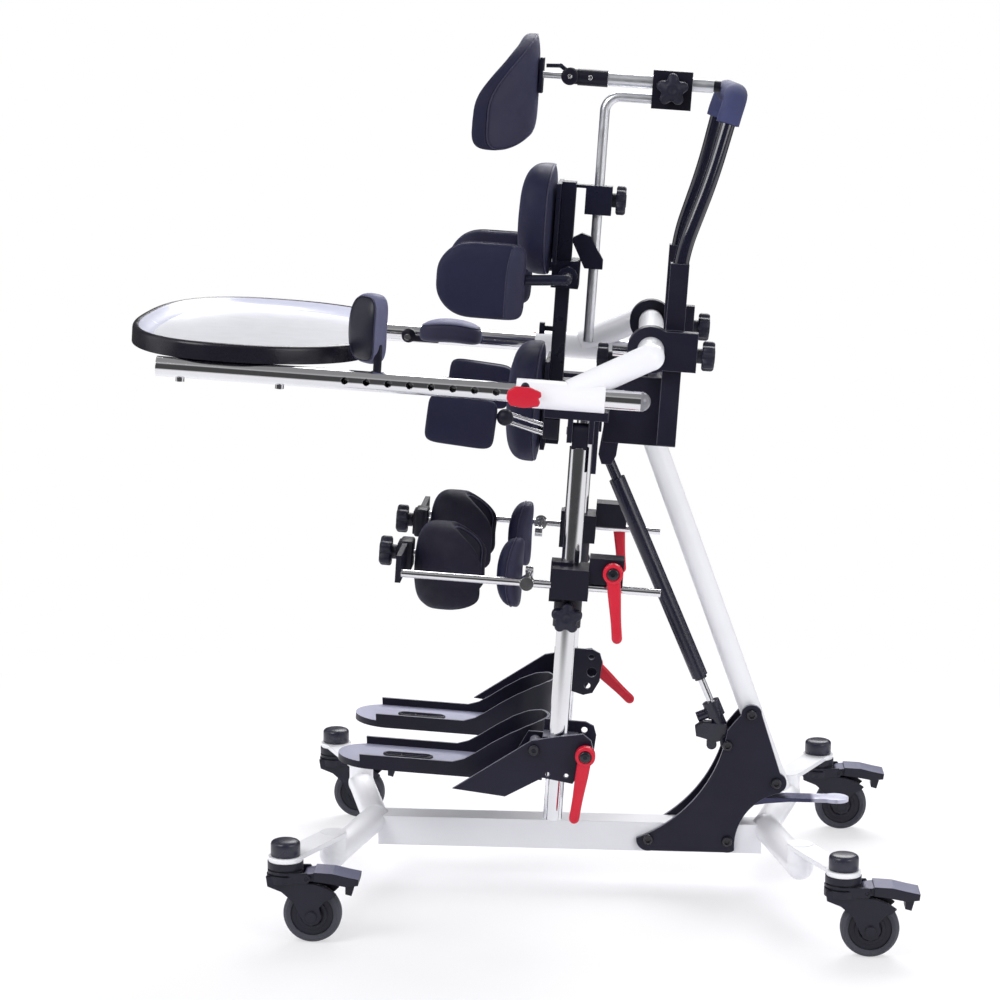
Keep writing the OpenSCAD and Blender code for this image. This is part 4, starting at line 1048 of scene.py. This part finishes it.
trayForm = {"front": -677, "rear": -362, "half": 292.5, "bow": 150, "square": 2.6, "rearCorner": 160, "under": 60.75,
            "lip": [(0.02, 17.2), (0.4, 2.4), (1.0, 1.6), (1.6, 0.9), (2.0, 0.4), (1.8, -0.3), (1.4, -0.9)],
            "slope": [(1.8, -1.8), (2.6, -2.6), (3.4, -2.7), (4.2, -2.1), (4.6, -1.3), (3.0, -0.4), (0.6, -1.0)],
            "ledge": 24, "topInset": 27.6, "top": 70.6, "thick": 4.4, "cornerSteps": 24, "frontSteps": 60}


def rearCorner(form, first, side):
    r, step = form["rearCorner"], 90 / form["cornerSteps"]
    turns = [math.radians(first + k * step) for k in range(form["cornerSteps"] + 1)]
    return [(form["rear"] - r + r * math.cos(a), side * (form["half"] - r) + r * math.sin(a)) for a in turns]


def trayOutline(form):
    bow, power, step = form["bow"], 2 / form["square"], 180 / form["frontSteps"]
    loop = rearCorner(form, 0, 1)
    for k in range(1, form["frontSteps"]):
        a = math.radians(90 + k * step)
        loop.append((form["front"] + bow + bow * signedPow(math.cos(a), power),
                     form["half"] * signedPow(math.sin(a), power)))
    loop += rearCorner(form, 270, -1)
    bm = bmesh.new()
    return bm, bm.faces.new([bm.verts.new(Vector((x, y, form["under"])) * mm) for x, y in loop])


def shrinkFace(bm, face, inset, rise=0.0):
    bm.normal_update()
    return bmesh.ops.inset_region(bm, faces=[face], thickness=inset * mm, depth=rise * mm, use_even_offset=True,
                                  use_boundary=True)["faces"]


bm, face = trayOutline(trayForm)
for index, stage in enumerate(("lip", "slope")):
    for inset, rise in trayForm[stage]:
        for made in shrinkFace(bm, face, inset, rise):
            made.material_index = index
bmesh.ops.delete(bm, geom=[face], context="FACES_ONLY")
bottom, face = trayOutline(trayForm)
shrinkFace(bottom, face, trayForm["ledge"])
bmesh.ops.delete(bottom, geom=[face], context="FACES_ONLY")
mergeInto(bm, bottom)
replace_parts(finishPiece(bm, "trayRim", "tray", [rimBlack, slopeWhite], support, angle=50), "tray_rim")

bm, face = trayOutline(trayForm)
ring = shrinkFace(bm, face, trayForm["topInset"], trayForm["top"] - trayForm["under"])
bmesh.ops.delete(bm, geom=ring, context="FACES")
made = bmesh.ops.extrude_face_region(bm, geom=[face])["geom"]
bmesh.ops.translate(bm, vec=(0, 0, -trayForm["thick"] * mm), verts=vertsOf(made))
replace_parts(finishPiece(bm, "trayTop", "tray", [trayWhite], support, angle=40), "tray_board")
print("tray made")


# push handle and its foam grip

handleLine = {"bottom": (32, 155, 102), "foot": (32, 155, 221), "knee": (63, 148, 322), "neck": (80.5, 141, 402),
              "end": (87, 122, 427), "tube": 10, "bend": 34, "lean": 7, "leanFrom": 221, "leanOver": 180}
# the grip starts at this share from the neck to the knee, with its end rounded over a few steps
gripLine = {"radius": 14.9, "bend": 30, "start": 0.14, "steps": (0.5, 1.4, 3), "round": (0.86, 0.93, 0.96, 0.98),
            "nearest": 0.00002}


def mirrored(points):
    # the far leg leans forward a little more towards its top
    def far(w):
        return handleLine["lean"] * max(0.0, min(1.0, (w - handleLine["leanFrom"]) / handleLine["leanOver"]))
    near = [Vector((u, -y, w)) * mm for u, y, w in points]
    return near + [Vector((u - far(w), y, w)) * mm for u, y, w in reversed(points)]


knee, neck = Vector(handleLine["knee"]), Vector(handleLine["neck"])
bm = bmesh.new()
path = roundedPath(mirrored([handleLine["bottom"], handleLine["foot"], knee, neck, handleLine["end"]]),
                   handleLine["bend"])
sweepInto(bm, path, handleLine["tube"], sides=32)
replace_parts(finishPiece(bm, "handleTube", "handle", [glossBlack], support, angle=40), "push_handle")

lower = neck + gripLine["start"] * (knee - neck)
step = (neck - lower).normalized()
starts = [lower + step * k for k in gripLine["steps"]]
path = roundedPath(mirrored([lower, *starts, neck, handleLine["end"]]), gripLine["bend"])
path = [p for k, p in enumerate(path) if k == 0 or (p - path[k - 1]).length > gripLine["nearest"]]
bm = bmesh.new()
sweepInto(bm, path, gripLine["radius"], sides=40, endRound=gripLine["round"])
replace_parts(finishPiece(bm, "foamGrip", "handle", [gripFoam], support, angle=60), "handle_grip")
print("handle made")


# castor caps, hip links and strap slots

castorCap = {"at": (355, 290, 112.5), "form": [(0.15, 18.4), (0.9, 19), (15.5, 19), (17.6, 18.3), (19.2, 16.6),
                                               (20.3, 13.8), (20.9, 9.5), (21.1, 4.5)]}
# the hip pad hangs on a slotted link
hipLink = {"out": 190, "start": (-112, 0, -12), "stop": (-172, 0, 3), "shorter": 8, "slot": 5.2, "wire": 3,
           "block": (20, 20, 27.6), "bevel": 2, "blockAt": (-116, -6.2), "ball": 10.9, "ballAt": (-175.25, 3)}
# raised rims round the strap slots of the sole, and a foot under it
strapSlot = {"out": 111, "along": (-277, -147), "top": -471.6, "length": 46, "half": 8.6, "wire": 2,
             "bar": (2, 12, 3), "barBevel": 0.6, "barAt": (-9, 0, -1),
             "foot": (36, 24, 6), "footBevel": 2, "footAt": (-292, -484)}
slotSteps = 14

bm = bmesh.new()
x, y, z = castorCap["at"]
for end in (-1, 1):
    for s in (-1, 1):
        mergeInto(bm, ringForm(castorCap["form"], 48), Matrix.Translation(onGround(end * x, s * y, z)))
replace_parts(finishPiece(bm, "castorCaps", "base", [capBlack], angle=50), "socket_caps")


def stadium(length, half):
    # closed loop round a slot along x
    loop = []
    for k in range(2 * slotSteps + 2):
        side = 1 if k <= slotSteps else -1
        a = math.radians(90) - math.pi * (k if side > 0 else k - 1) / slotSteps
        loop.append(Vector((side * length / 2 + half * math.cos(a), half * math.sin(a), 0)) * mm)
    return loop


for side, low, s in bothSides:
    out = s * hipLink["out"]
    start, stop = Vector(hipLink["start"]), Vector(hipLink["stop"])
    link = stop - start
    pitch = math.degrees(math.atan2(link.z, -link.x))
    middle = (start + stop) / 2
    bm = bmesh.new()
    u, w = hipLink["blockAt"]
    mergeInto(bm, blockForm(hipLink["block"], hipLink["bevel"]), shift(u, out, w), 1)
    ball = bmesh.new()
    bmesh.ops.create_uvsphere(ball, u_segments=40, v_segments=24, radius=hipLink["ball"] * mm)
    u, w = hipLink["ballAt"]
    mergeInto(bm, ball, shift(u, out, w), 1)
    loop = bmesh.new()
    sweepInto(loop, stadium(link.length - hipLink["shorter"], hipLink["slot"]), hipLink["wire"], True, sides=16)
    mergeInto(bm, loop, shift(middle.x, out, middle.z) @ turned("Y", pitch) @ turned("X", 90))
    piece = finishPiece(bm, "hipLink" + side, "support", [brightChrome, mouldedBlack], support, angle=40)
    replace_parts(piece, "hip_arms")

    out = s * strapSlot["out"]
    bm = bmesh.new()
    for u in strapSlot["along"]:
        ring = bmesh.new()
        sweepInto(ring, stadium(strapSlot["length"], strapSlot["half"]), strapSlot["wire"], True, sides=12)
        mergeInto(ring, blockForm(strapSlot["bar"], strapSlot["barBevel"]), shift(*strapSlot["barAt"]))
        mergeInto(bm, ring, shift(u, out, strapSlot["top"]))
    u, w = strapSlot["footAt"]
    mergeInto(bm, blockForm(strapSlot["foot"], strapSlot["footBevel"]), shift(u, out, w))
    finishPiece(bm, "strapSlots" + side, "shoe_" + low, [mouldedBlack], support, angle=40)
print("small pieces made")
